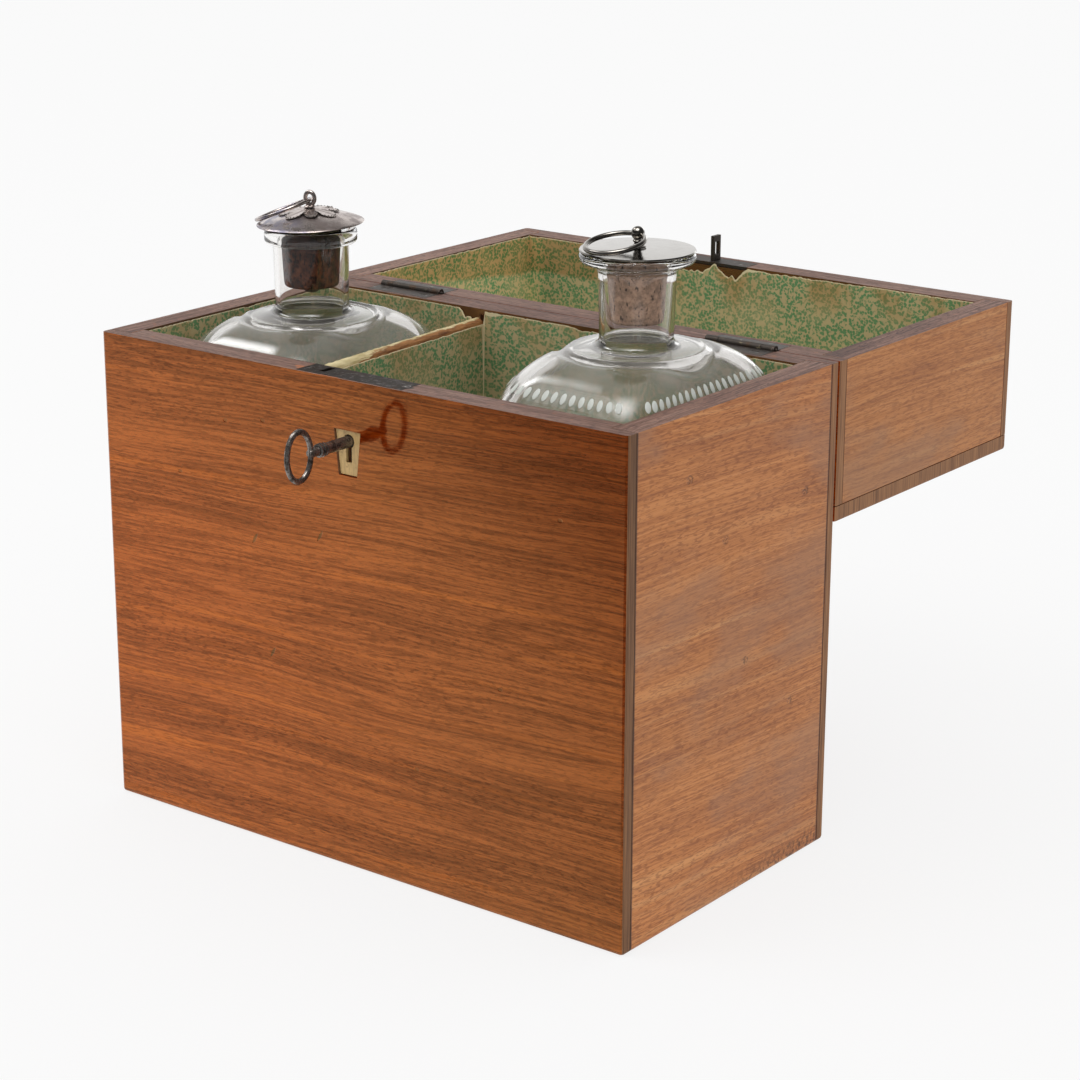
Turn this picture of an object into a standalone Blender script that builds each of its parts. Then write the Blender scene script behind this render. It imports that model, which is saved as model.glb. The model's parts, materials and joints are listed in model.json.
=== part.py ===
"""Wooden liquor case standing open, with two glass bottles, their cork stoppers and a lock with its key."""
import math
from dataclasses import dataclass

import bmesh
import bpy
from mathutils import Matrix, Vector

# Clearances, in metres as all sizes here
GLUE_GAP = 0.0003
HINGE_RUN = 0.0002
SCREW_GAP = 0.00015
KNUCKLE_ROOM = 0.0004
STAPLE_GAP = 0.0004
BOLT_GAP = 0.0005
KEY_GAP = 0.0004
RING_GAP = 0.0004
CUT_PAST = 0.002

# Case boards
CASE_WIDTH = 0.240
CASE_DEPTH = 0.128
BODY_HEIGHT = 0.183
LID_HEIGHT = 0.060
LID_GAP = 0.0005
FRONT_THICKNESS = 0.0115
SIDE_THICKNESS = 0.0102
RABBET_LIP = 0.0045
BOTTOM_THICKNESS = 0.008
BOTTOM_REBATE = 0.004
LID_TOP_THICKNESS = 0.006
EDGE_ROUND = 0.0012
PARTITION_THICKNESS = 0.0045
PARTITION_DROP = 0.0025
PARTITION_HOUSING = 0.002
PAPER = 0.0004
PAPER_DROP = 0.0025

# Butt hinges
HINGE_INSET = 0.042
HINGE_LENGTH = 0.030
LEAF_WIDTH = 0.0095
LEAF_THICKNESS = 0.0009
KNUCKLE_RADIUS = 0.0015
OUTER_KNUCKLE = 0.0056
PIN_RADIUS = 0.0006
PIN_HEAD = 0.0006
PIN_TIP = 0.0004
LEAF_SCREW_SPREAD = 0.0095
LEAF_SCREW_INSET = 0.0050

# Wood screws
SCREW_HEAD = 0.0017
SCREW_SHANK = 0.0008
SCREW_TIP = 0.0003
SCREW_TAPER = 0.0004
SCREW_LENGTH = 0.0065
SCREW_HEAD_DEPTH = 0.0009
SCREW_SLOT = 0.0005
SCREW_SLOT_DEPTH = 0.0004

# Lock, its staple and the key
SELVEDGE_EAR = 0.0045
SELVEDGE_THICKNESS = 0.0015
SELVEDGE_INSET = 0.0010
LOCK_CASE_LENGTH = 0.039
LOCK_CASE_HEIGHT = 0.0335
LOCK_PLATE_THICKNESS = 0.0010
LOCK_SHEET = 0.0007
LOCK_SCREW_INSET = 0.0021
WOOD_WEB = 0.0010
ESCUTCHEON_TOP = 0.0116
ESCUTCHEON_FOOT = 0.0078
ESCUTCHEON_RISE = 0.0159
ESCUTCHEON_ABOVE = 0.0037
ESCUTCHEON_THICKNESS = 0.0012
ESCUTCHEON_SUNK = 0.0008
KEY_DROP = 0.0221
KEY_BARREL = 0.0021
KEY_NECK = 0.0017
KEY_COLLAR = 0.0024
KEY_GROOVE = 0.0020
KEY_RING = 0.0006
KEY_RING_SLOPE = 0.00024
KEY_COLLAR_OUT = 0.0130
KEY_REACH = 0.0320
KEY_BORE_DEPTH = 0.0045
DRILL_PIN = 0.0008
BIT_RADIUS = 0.0073
BIT_THICKNESS = 0.0018
BIT_LENGTH = 0.0036
BIT_ROOT = 0.0017
BOW_HEIGHT = 0.0196
BOW_LENGTH = 0.0142
BOW_WIRE = 0.0011
STAPLE_PLACE = -0.0150
STAPLE_THICKNESS = 0.0015
STAPLE_HEIGHT = 0.0105
STAPLE_LIMB = 0.0012
EYE_FOOT = 0.0026
EYE_HEIGHT = 0.0054
LINK_LENGTH = 0.036
LINK_WIDTH = 0.0090
LINK_THICKNESS = 0.0012
LINK_SCREW_SPREAD = 0.0262
BOLT_TRAVEL = 0.0045
BOLT_TALON_DEPTH = 0.0016
BOLT_BAR_HEIGHT = 0.0090
BOLT_END = 0.0165
BOLT_STEP = 0.0075
GUIDE_POST = 0.0009
GUIDE_PLACE = 0.0080
GUIDE_RISE = 0.0103
SPRING_THICKNESS = 0.0005
SPRING_WIDTH = 0.0018
SPRING_SPAN = 0.0140
SPRING_PLACE = 0.0090

# Bottles
LEFT_BAY_SHARE = 0.345
BOTTLE_PLAY = 0.0016
BOTTLE_END_PLAY = 0.0008
PARTITION_PLAY = 0.0042
BOTTLE_CORNER = 0.015
BOTTLE_FOOT_ROUND = 0.003
GLASS_WALL = 0.0028
GLASS_BASE = 0.0060
NECK_WALL = 0.0024
LIP_EDGE = 0.0005
LIP_EDGE_DROP = 0.0007
FOOT_BEND = 0.3
NECK_STEPS = 4
FLARED_LIP = ((0, 0), (0.30, 0.32), (0.62, 0.55), (0.92, 0.78), (1, 0.90), (0.97, 1))
ROLLED_LIP = ((0, 0), (0.78, 0.06), (1, 0.25), (1, 0.72), (0.80, 0.97), (0.45, 1))
CORNER_STEPS = 7
SHOULDER_STEPS = 7
LEFT_BACKWARD = 0.0010
RIGHT_BACKWARD = 0.0042
LEFT_EDGE_DROP = 0.0210
LEFT_RIDGE_RISE = 0.0030
LEFT_RIDGE_RADIUS = 0.0165
LEFT_NECK = 0.0138
LEFT_LIP = 0.0175
LEFT_LIP_HEIGHT = 0.0057
RIGHT_EDGE_DROP = 0.0130
RIGHT_RIDGE_RISE = 0.0108
RIGHT_RIDGE_RADIUS = 0.0160
RIGHT_NECK = 0.0130
RIGHT_LIP_HEIGHT = 0.0080
NECK_FILLET = 0.0034
LEFT_HEADROOM = 0.0045
RIGHT_HEADROOM = 0.0012

# Stoppers
CAP_RADIUS = 0.0202
CAP_RINGS = (1, 0.85, 0.65, 0.4)
CAP_EDGE_ROLL = 0.7
LEFT_CAP_EDGE = 0.0008
LEFT_CAP_DOME = 0.0042
RIGHT_CAP_EDGE = 0.0010
RIGHT_CAP_DOME = 0.0004
CORK_PROUD = 0.0015
LEFT_CORK_LENGTH = 0.0231
RIGHT_CORK_LENGTH = 0.0240
CORK_TAPER = 0.0014
CORK_ROUND = 0.0012
STUD_RADIUS = 0.0011
STUD_TIP = 0.0008
STUD_TIP_RISE = 0.0004
STUD_COLLAR = 0.0022
STUD_COLLAR_TOP = 0.0020
STUD_COLLAR_EDGE = 0.0005
STUD_COLLAR_HEIGHT = 0.0009
NUT_RADIUS = 0.0032
NUT_HEIGHT = 0.0022
NUT_FOOT = 0.0019
NUT_EDGE = 0.0009
EYE_HALF_HEIGHT = 0.0025
EYE_HALF_WIDTH = 0.0021
EYE_WIRE = 0.00065
ROSETTE_RADIUS = 0.0109
ROSETTE_NOTCH = 0.0030
ROSETTE_PETALS = 8
ROSETTE_THICKNESS = 0.0006
ROSETTE_RINGS = (0.0, 0.55, 1.0)
FINIAL_BALL = 0.0024
FINIAL_HOLE_DROP = 0.0004
FINIAL_BEAD = 0.0017
FINIAL_WAIST = 0.0013
FINIAL_FOOT = 0.0030
FINIAL_FOOT_TOP = 0.0026
FINIAL_WAIST_DROP = 0.0004
FINIAL_BEAD_RISE = 0.0003
BALL_UNDER = math.radians(-55.0)
BALL_OVER = math.radians(80.0)
BALL_STEPS = 7
FINIAL_STEM = 0.0024
FINIAL_SHANK = 0.0120
LEFT_RING_RADIUS = 0.0112
LEFT_RING_WIRE = 0.0007
LEFT_RING_HEADING = math.radians(200.0)
RIGHT_RING_RADIUS = 0.01025
RIGHT_RING_WIRE = 0.0009
RIGHT_RING_HEADING = math.radians(255.0)

# Facets
ROUND_STEPS = 28
SMALL_STEPS = 16
SCREW_STEPS = 12
RING_STEPS = 32
WIRE_STEPS = 8

# Places that follow from the sizes above
HALF_WIDTH = CASE_WIDTH/2
HALF_DEPTH = CASE_DEPTH/2
INNER_X = HALF_WIDTH-SIDE_THICKNESS
INNER_Y = HALF_DEPTH-FRONT_THICKNESS
LID_RIM = BODY_HEIGHT+LID_GAP
LID_INSIDE = LID_RIM+LID_HEIGHT-LID_TOP_THICKNESS
LID_CEILING = LID_INSIDE-GLUE_GAP-PAPER-GLUE_GAP
LINING = GLUE_GAP+PAPER
FLOOR = BOTTOM_THICKNESS+GLUE_GAP+PAPER+GLUE_GAP
LEFT_BAY = 2*INNER_X*LEFT_BAY_SHARE
BOTTLE_WIDTH = LEFT_BAY-2*LINING-2*BOTTLE_PLAY-PARTITION_PLAY
PARTITION_LEFT = -INNER_X+LEFT_BAY
PARTITION_RIGHT = PARTITION_LEFT+PARTITION_THICKNESS
PARTITION_TOP = BODY_HEIGHT-PARTITION_DROP
HINGE_PLACE = HALF_WIDTH-HINGE_INSET
HINGE_AXIS = Vector((0, HALF_DEPTH+LID_GAP/2, BODY_HEIGHT+LID_GAP/2))
KEY_AXIS = BODY_HEIGHT-KEY_DROP
POCKET_BACK = -HALF_DEPTH+ESCUTCHEON_SUNK+ESCUTCHEON_THICKNESS+GLUE_GAP
MORTISE_FRONT = POCKET_BACK+WOOD_WEB
CASE_FRONT = MORTISE_FRONT+GLUE_GAP
LOCK_PLATE_FACE = -INNER_Y-LOCK_PLATE_THICKNESS
CASE_BACK = LOCK_PLATE_FACE-GLUE_GAP
LOCK_MIDDLE = (CASE_FRONT+LOCK_SHEET+CASE_BACK)/2
LOCK_ROOM = CASE_BACK-CASE_FRONT-LOCK_SHEET
STAPLE_WIDTH = LOCK_ROOM-2*STAPLE_GAP
EYE_WIDTH = STAPLE_WIDTH-2*STAPLE_LIMB
BOLT_THICKNESS = EYE_WIDTH-2*STAPLE_GAP
SELVEDGE_LENGTH = LOCK_CASE_LENGTH+2*SELVEDGE_EAR
SELVEDGE_FOOT = BODY_HEIGHT-SELVEDGE_THICKNESS
LOCK_FOOT = BODY_HEIGHT-LOCK_CASE_HEIGHT
BOLT_TOP = LID_RIM-EYE_FOOT-BOLT_GAP
NOSE_FOOT = LID_RIM-EYE_FOOT-EYE_HEIGHT+BOLT_GAP
BOLT_FOOT = KEY_AXIS+BIT_RADIUS-BOLT_TALON_DEPTH
BOLT_BAR_TOP = BOLT_FOOT+BOLT_BAR_HEIGHT
NOSE_TIP = STAPLE_PLACE+STAPLE_THICKNESS/2+BOLT_GAP+STAPLE_GAP
KEYHOLE = KEY_BARREL+KEY_GAP
KEY_SLOT = BIT_THICKNESS+2*KEY_GAP
KEY_SLOT_FOOT = BIT_RADIUS+KEY_GAP
KEY_END = LOCK_PLATE_FACE-2*GLUE_GAP
LEFT_X = -INNER_X+LINING+BOTTLE_PLAY+BOTTLE_WIDTH/2
RIGHT_X = INNER_X-LINING-BOTTLE_PLAY-BOTTLE_WIDTH/2
BAY_DEPTH = 2*(INNER_Y-LINING)
BOTTLE_DEPTH = BAY_DEPTH-2*BOTTLE_END_PLAY-2*RIGHT_BACKWARD

# Finishes: colour, roughness, metallic value and how clear the piece is
VARNISHED_WOOD = ((0.33, 0.125, 0.045), 0.22, 0.0, 0.0)
SIDE_WOOD = ((0.36, 0.165, 0.065), 0.38, 0.0, 0.0)
BARE_WOOD = ((0.30, 0.17, 0.13), 0.60, 0.0, 0.0)
SPRIG_PAPER = ((0.32, 0.30, 0.15), 0.85, 0.0, 0.0)
DARK_IRON = ((0.075, 0.062, 0.052), 0.45, 0.9, 0.0)
WORN_BRASS = ((0.36, 0.29, 0.15), 0.40, 1.0, 0.0)
BONE = ((0.66, 0.56, 0.35), 0.45, 0.0, 0.0)
TARNISHED_SILVER = ((0.42, 0.38, 0.36), 0.30, 1.0, 0.0)
BRIGHT_SILVER = ((0.78, 0.76, 0.72), 0.16, 1.0, 0.0)
DARK_CORK = ((0.16, 0.075, 0.035), 0.80, 0.0, 0.0)
PALE_CORK = ((0.52, 0.37, 0.27), 0.80, 0.0, 0.0)
CLEAR_GLASS = ((0.92, 0.95, 0.92), 0.03, 0.0, 1.0)

QUARTERS = ((1, 1), (-1, 1), (-1, -1), (1, -1))


@dataclass
class Bottle:
    """One blown bottle: its place, its heights in the case frame and its radii."""
    name: str
    place: tuple
    edge: float
    ridge: float
    ridge_radius: float
    neck_foot: float
    neck: float
    lip_foot: float
    lip_top: float
    lip_radius: float
    lip_flare: bool

    @property
    def bore(self):
        return self.neck-NECK_WALL


@dataclass
class Stopper:
    """Heights of one stopper's cap and ring eye, and the radius that its cork has at the lip."""
    cap_foot: float
    cap_edge: float
    cap_top: float
    eye: float
    cork: float


# Scene and objects

def clear_scene():
    for item in list(bpy.data.objects):
        bpy.data.objects.remove(item, do_unlink=True)


def make_material(name, finish):
    colour, roughness, metallic, clear = finish
    material = bpy.data.materials.new(name)
    material.use_nodes = True
    shader = material.node_tree.nodes["Principled BSDF"]
    shader.inputs["Base Color"].default_value = (*colour, 1.0)
    shader.inputs["Roughness"].default_value = roughness
    shader.inputs["Metallic"].default_value = metallic
    shader.inputs["Transmission Weight"].default_value = clear
    material.diffuse_color = (*colour, 1.0)
    return material


def add_empty(name, place, rotation=(0, 0, 0), parent=None):
    empty = bpy.data.objects.new(name, None)
    bpy.context.collection.objects.link(empty)
    empty.location = place
    empty.rotation_euler = rotation
    empty.parent = parent
    return empty


def add_object(name, bm, parent=None, place=(0, 0, 0), rotation=(0, 0, 0)):
    bmesh.ops.recalc_face_normals(bm, faces=bm.faces)
    mesh = bpy.data.meshes.new(name)
    bm.to_mesh(mesh)
    bm.free()
    mesh.shade_smooth()
    mesh.set_sharp_from_angle(angle=math.radians(32))
    item = bpy.data.objects.new(name, mesh)
    bpy.context.collection.objects.link(item)
    item.location = place
    item.rotation_euler = rotation
    item.parent = parent
    return item


def add_piece(name, bm, finish, parent=None, place=(0, 0, 0), rotation=(0, 0, 0)):
    item = add_object(name, bm, parent, place, rotation)
    item.data.materials.append(make_material(name+"_finish", finish))
    return item


def add_tool(name, bm, parent=None, place=(0, 0, 0), rotation=(0, 0, 0)):
    """A cutter, or a shape to be joined on: it guides a Boolean and isn't a piece itself."""
    tool = add_object(name, bm, parent, place, rotation)
    tool.hide_render = True
    tool.display_type = 'WIRE'
    return tool


def combine(item, tool, operation):
    modifier = item.modifiers.new(tool.name, 'BOOLEAN')
    modifier.operation = operation
    modifier.solver = 'EXACT'
    modifier.object = tool


def cut(item, *tools):
    for tool in tools:
        combine(item, tool, 'DIFFERENCE')


def join(item, *tools):
    for tool in tools:
        combine(item, tool, 'UNION')


# Shapes

def box(low, high):
    bm = bmesh.new()
    bmesh.ops.create_cube(bm, size=1.0)
    for vert in bm.verts:
        vert.co = Vector(low[i]+(vert.co[i]+0.5)*(high[i]-low[i]) for i in range(3))
    return bm


def prism(outline, axis, low, high):
    """An outline in the two other axes, in their order, drawn out along one axis."""
    others = [i for i in range(3) if i != axis]
    bm = bmesh.new()
    foot = []
    for first, second in outline:
        point = [0.0, 0.0, 0.0]
        point[others[0]] = first
        point[others[1]] = second
        point[axis] = low
        foot.append(bm.verts.new(point))
    face = bm.faces.new(foot)
    drawn = bmesh.ops.extrude_face_region(bm, geom=[face])
    shift = Vector((0, 0, 0))
    shift[axis] = high-low
    bmesh.ops.translate(bm, vec=shift, verts=[v for v in drawn["geom"] if isinstance(v, bmesh.types.BMVert)])
    return bm


def loft(loops, close_ends=True):
    """Rows of points joined to their neighbours; the two ends are closed, or joined to each other."""
    bm = bmesh.new()
    rows = [[bm.verts.new(point) for point in loop] for loop in loops]
    pairs = list(zip(rows, rows[1:]))
    if not close_ends:
        pairs.append((rows[-1], rows[0]))
    for lower, upper in pairs:
        count = len(lower)
        for i in range(count):
            j = (i+1) % count
            bm.faces.new((lower[i], lower[j], upper[j], upper[i]))
    if close_ends:
        bm.faces.new(rows[0])
        bm.faces.new(rows[-1])
    return bm


def circle(radius, height, steps):
    turn = 2*math.pi/steps
    return [(radius*math.cos(turn*(i+0.5)), radius*math.sin(turn*(i+0.5)), height) for i in range(steps)]


def turned(profile, steps, ring=False):
    """A profile of radius and height turned about Z; a ring's profile is a closed outline off the axis."""
    return loft([circle(radius, height, steps) for radius, height in profile], close_ends=not ring)


def rod(radius, low, high, steps, axis):
    bm = turned(((radius, low), (radius, high)), steps)
    if axis == 0:
        bmesh.ops.rotate(bm, matrix=Matrix.Rotation(math.pi/2, 3, 'Y'), verts=bm.verts)
    if axis == 1:
        bmesh.ops.rotate(bm, matrix=Matrix.Rotation(-math.pi/2, 3, 'X'), verts=bm.verts)
    return bm


def oval_ring(half_a, half_b, wire, steps):
    """A round wire bent to an oval in the XY plane about the origin."""
    loops = []
    for i in range(steps):
        angle = 2*math.pi*i/steps
        middle = Vector((half_a*math.cos(angle), half_b*math.sin(angle), 0))
        outward = Vector((math.cos(angle)/half_a, math.sin(angle)/half_b, 0)).normalized()
        loop = []
        for j in range(WIRE_STEPS):
            around = 2*math.pi*(j+0.5)/WIRE_STEPS
            loop.append(middle+wire*(math.cos(around)*outward+math.sin(around)*Vector((0, 0, 1))))
        loops.append(loop)
    return loft(loops, close_ends=False)


def moved(bm, offset):
    bmesh.ops.translate(bm, vec=Vector(offset), verts=bm.verts)
    return bm


def round_edges(bm, wanted):
    edges = [edge for edge in bm.edges if wanted(edge.verts[0].co, edge.verts[1].co)]
    bmesh.ops.bevel(bm, geom=edges, offset=EDGE_ROUND, segments=2, profile=0.5, affect='EDGES')
    return bm


def near(a, b):
    return abs(a-b) < 1e-6


# Boards

def rabbeted_outline(side):
    """Plan of a front (side -1) or back (side 1) board, its ends rabbeted to a lip over the side boards."""
    thick = INNER_X-GLUE_GAP
    lip = side*(HALF_DEPTH-RABBET_LIP)
    return ((-HALF_WIDTH, side*HALF_DEPTH), (HALF_WIDTH, side*HALF_DEPTH), (HALF_WIDTH, lip), (thick, lip),
            (thick, side*INNER_Y), (-thick, side*INNER_Y), (-thick, lip), (-HALF_WIDTH, lip))


def long_board(side, low, high, outer):
    """A front or back board, rounded at its two outer corners and along its outer end face."""
    def wanted(a, b):
        outside = near(a.y, side*HALF_DEPTH) and near(b.y, side*HALF_DEPTH)
        corner = outside and near(abs(a.x), HALF_WIDTH) and near(a.x, b.x)
        foot = outer is not None and near(a.z, outer) and near(b.z, outer)
        end = near(abs(a.x), HALF_WIDTH) and near(a.x, b.x)
        return corner or (foot and (outside or end))
    return round_edges(prism(rabbeted_outline(side), 2, low, high), wanted)


def side_board(side, low, high, outer):
    reach = HALF_DEPTH-RABBET_LIP-GLUE_GAP

    def wanted(a, b):
        outside = near(a.x, side*HALF_WIDTH) and near(b.x, side*HALF_WIDTH)
        return outer is not None and outside and near(a.z, outer) and near(b.z, outer)
    xs = sorted((side*INNER_X, side*HALF_WIDTH))
    return round_edges(box((xs[0], -reach, low), (xs[1], reach, high)), wanted)


def paper_tray(left, right, open_end, floor):
    """A paper lining: four walls and a floor, open at one end."""
    step = PAPER if open_end > floor else -PAPER
    out_y = INNER_Y-GLUE_GAP
    in_y = out_y-PAPER
    outer = ((left, -out_y), (right, -out_y), (right, out_y), (left, out_y))
    inner = ((left+PAPER, -in_y), (right-PAPER, -in_y), (right-PAPER, in_y), (left+PAPER, in_y))
    levels = ((outer, floor), (outer, open_end), (inner, open_end), (inner, floor+step))
    return loft([[(x, y, z) for x, y in outline] for outline, z in levels])


def make_body():
    finish = {"front_board": VARNISHED_WOOD, "back_board": VARNISHED_WOOD}
    rebate_x = INNER_X+BOTTOM_REBATE
    rebate_y = INNER_Y+BOTTOM_REBATE
    bottom_room = add_tool("bottom_room", box(
        (-rebate_x-GLUE_GAP, -rebate_y-GLUE_GAP, -CUT_PAST),
        (rebate_x+GLUE_GAP, rebate_y+GLUE_GAP, BOTTOM_THICKNESS+GLUE_GAP)))
    housing_y = INNER_Y+PARTITION_HOUSING
    housing_room = add_tool("partition_room", box(
        (PARTITION_LEFT-GLUE_GAP, -housing_y-GLUE_GAP, BOTTOM_THICKNESS),
        (PARTITION_RIGHT+GLUE_GAP, housing_y+GLUE_GAP, PARTITION_TOP+GLUE_GAP)))
    boards = {}
    for name, side in (("front_board", -1), ("back_board", 1)):
        boards[name] = add_piece(name, long_board(side, 0, BODY_HEIGHT, 0), finish[name])
        cut(boards[name], bottom_room, housing_room)
    for name, side in (("left_side_board", -1), ("right_side_board", 1)):
        boards[name] = add_piece(name, side_board(side, 0, BODY_HEIGHT, 0), SIDE_WOOD)
        cut(boards[name], bottom_room)
    bottom = box((-rebate_x, -rebate_y, 0), (rebate_x, rebate_y, BOTTOM_THICKNESS))
    add_piece("bottom_board", bottom, BARE_WOOD)
    add_piece("partition", partition_board(housing_y), BARE_WOOD)
    paper_foot = BOTTOM_THICKNESS+GLUE_GAP
    paper_top = PARTITION_TOP-PARTITION_THICKNESS/2
    add_piece("left_bay_lining", paper_tray(
        -INNER_X+GLUE_GAP, PARTITION_LEFT-GLUE_GAP, paper_top, paper_foot), SPRIG_PAPER)
    lining = add_piece("right_bay_lining", paper_tray(
        PARTITION_RIGHT+GLUE_GAP, INNER_X-GLUE_GAP, paper_top, paper_foot), SPRIG_PAPER)
    half = LOCK_CASE_LENGTH/2+GLUE_GAP
    cut(lining, add_tool("lock_window", box(
        (-half, -INNER_Y-CUT_PAST, LOCK_FOOT-GLUE_GAP),
        (half, -INNER_Y+LINING+CUT_PAST, BODY_HEIGHT))))
    return boards


def partition_board(reach):
    """A thin board with a rounded top edge, standing on the bottom board and housed in front and back."""
    middle = (PARTITION_LEFT+PARTITION_RIGHT)/2
    radius = PARTITION_THICKNESS/2
    outline = [(PARTITION_LEFT, BOTTOM_THICKNESS+GLUE_GAP), (PARTITION_RIGHT, BOTTOM_THICKNESS+GLUE_GAP)]
    for i in range(9):
        angle = math.pi*i/8
        outline.append((middle+radius*math.cos(angle), PARTITION_TOP-radius+radius*math.sin(angle)))
    return prism(outline, 1, -reach, reach)


def make_lid(pivot):
    """The lid is drawn closed, in the frame of its hinge axis, and the pivot turns it open."""
    def lid_piece(name, bm, finish):
        return add_piece(name, moved(bm, -HINGE_AXIS), finish, pivot)
    boards = {}
    low = LID_RIM
    high = LID_INSIDE-GLUE_GAP
    for name, side in (("lid_front_board", -1), ("lid_back_board", 1)):
        boards[name] = lid_piece(name, long_board(side, low, high, None), VARNISHED_WOOD)
    for name, side in (("lid_left_board", -1), ("lid_right_board", 1)):
        boards[name] = lid_piece(name, side_board(side, low, high, None), SIDE_WOOD)
    top = LID_RIM+LID_HEIGHT
    board = box((-HALF_WIDTH, -HALF_DEPTH, LID_INSIDE), (HALF_WIDTH, HALF_DEPTH, top))
    boards["lid_top_board"] = lid_piece("lid_top_board", round_edges(
        board, lambda a, b: (near(a.z, top) and near(b.z, top)) or not near(a.z, b.z)), VARNISHED_WOOD)
    lid_piece("lid_lining", paper_tray(
        -INNER_X+GLUE_GAP, INNER_X-GLUE_GAP, LID_RIM+PAPER_DROP, LID_INSIDE-GLUE_GAP), SPRIG_PAPER)
    return boards


# Screws

def screw_outline(extra):
    length = SCREW_LENGTH+extra
    return ((SCREW_HEAD+extra, 0), (SCREW_SHANK+extra, -SCREW_HEAD_DEPTH-extra),
            (SCREW_SHANK+extra, SCREW_TAPER-length), (SCREW_TIP+extra, -length))


def add_screw(name, place, holders, parent=None, upside_down=False):
    """A countersunk slotted screw, head flush, and its hole in each piece that it passes through."""
    turn = (math.pi, 0, 0) if upside_down else (0, 0, 0)
    screw = add_piece(name, turned(screw_outline(0), SCREW_STEPS), DARK_IRON, parent, place, turn)
    slot = box((-SCREW_HEAD*2, -SCREW_SLOT/2, -SCREW_SLOT_DEPTH), (SCREW_HEAD*2, SCREW_SLOT/2, CUT_PAST))
    cut(screw, add_tool(name+"_slot", slot, parent, place, turn))
    mouth = ((SCREW_HEAD+SCREW_GAP, CUT_PAST),)
    hole = turned(mouth+screw_outline(SCREW_GAP), SCREW_STEPS)
    room = add_tool(name+"_hole", hole, parent, place, turn)
    for holder in holders:
        cut(holder, room)


# Hinges

def knuckle_outline(above):
    """Section of a leaf where it rolls round the pin: above is 1 for the lid's leaf, -1 for the body's."""
    near_face = above*LID_GAP/2
    far_face = above*(LID_GAP/2+LEAF_THICKNESS)
    root = -KNUCKLE_RADIUS-HINGE_RUN-LEAF_THICKNESS
    start = math.pi-math.asin(near_face/KNUCKLE_RADIUS)
    end = math.pi-math.asin(far_face/KNUCKLE_RADIUS)+above*2*math.pi
    steps = ROUND_STEPS-6
    outline = [(root, near_face)]
    for i in range(steps+1):
        angle = start+(end-start)*i/steps
        outline.append((KNUCKLE_RADIUS*math.cos(angle), KNUCKLE_RADIUS*math.sin(angle)))
    outline.append((root, far_face))
    return outline


def make_hinge(label, place, body_boards, lid_boards, pivot):
    half = HINGE_LENGTH/2
    inner = half-OUTER_KNUCKLE
    sides = (("body", -1, ((-half, -inner), (inner, half)), body_boards["back_board"], None),
             ("lid", 1, ((-inner+HINGE_RUN, inner-HINGE_RUN),), lid_boards["lid_back_board"], pivot))
    for side, above, knuckles, board, parent in sides:
        origin = Vector((place, HINGE_AXIS.y, HINGE_AXIS.z)) if parent is None else Vector((place, 0, 0))
        faces = sorted((above*LID_GAP/2, above*(LID_GAP/2+LEAF_THICKNESS)))
        back = -LID_GAP/2-LEAF_WIDTH
        name = label+"_hinge_"+side+"_leaf"
        plate = box((-half, back, faces[0]), (half, -KNUCKLE_RADIUS-HINGE_RUN, faces[1]))
        leaf = add_piece(name, plate, DARK_IRON, parent, origin)
        for number, (start, end) in enumerate(knuckles, 1):
            roll = prism(knuckle_outline(above), 0, start, end)
            join(leaf, add_tool(name+"_knuckle_"+str(number), roll, parent, origin))
        cut(leaf, add_tool(name+"_bore", rod(
            PIN_RADIUS+HINGE_RUN, -half-CUT_PAST, half+CUT_PAST, SMALL_STEPS, 0), parent, origin))
        depth = sorted((above*-CUT_PAST, above*(LID_GAP/2+LEAF_THICKNESS+GLUE_GAP)))
        cut(board, add_tool(name+"_room", box(
            (-half-GLUE_GAP, back-GLUE_GAP, depth[0]), (half+GLUE_GAP, CUT_PAST, depth[1])), parent, origin))
        cut(board, add_tool(name+"_barrel_room", rod(
            KNUCKLE_RADIUS+KNUCKLE_ROOM, -half-KNUCKLE_ROOM-PIN_HEAD, half+KNUCKLE_ROOM+PIN_HEAD,
            SMALL_STEPS, 0), parent, origin))
        for number, sign in ((1, -1), (2, 1)):
            spot = origin+Vector((sign*LEAF_SCREW_SPREAD, back+LEAF_SCREW_INSET-GLUE_GAP, above*LID_GAP/2))
            add_screw(label+"_hinge_"+side+"_screw_"+str(number), spot, (leaf, board), parent, above > 0)
    ends = half+PIN_HEAD
    pin = turned(((PIN_TIP, -ends), (PIN_RADIUS, -half), (PIN_RADIUS, half), (PIN_TIP, ends)), SMALL_STEPS)
    bmesh.ops.rotate(pin, matrix=Matrix.Rotation(math.pi/2, 3, 'Y'), verts=pin.verts)
    add_piece(label+"_hinge_pin", pin, WORN_BRASS, None, (place, HINGE_AXIS.y, HINGE_AXIS.z))


# Lock

def keyhole_outline(radius, half_slot, foot):
    """A round hole with a slot below it, about the key's axis."""
    start = math.asin(half_slot/radius)-math.pi/2
    end = 3*math.pi/2-math.asin(half_slot/radius)
    outline = []
    for i in range(SMALL_STEPS+1):
        angle = start+(end-start)*i/SMALL_STEPS
        outline.append((radius*math.cos(angle), KEY_AXIS+radius*math.sin(angle)))
    outline += [(-half_slot, KEY_AXIS-foot), (half_slot, KEY_AXIS-foot)]
    return outline


def escutcheon_outline(extra):
    top = KEY_AXIS+ESCUTCHEON_ABOVE+extra
    foot = KEY_AXIS+ESCUTCHEON_ABOVE-ESCUTCHEON_RISE-extra
    half_top = ESCUTCHEON_TOP/2+extra
    half_foot = ESCUTCHEON_FOOT/2+extra
    return ((-half_foot, foot), (half_foot, foot), (half_top, top), (-half_top, top))


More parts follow.
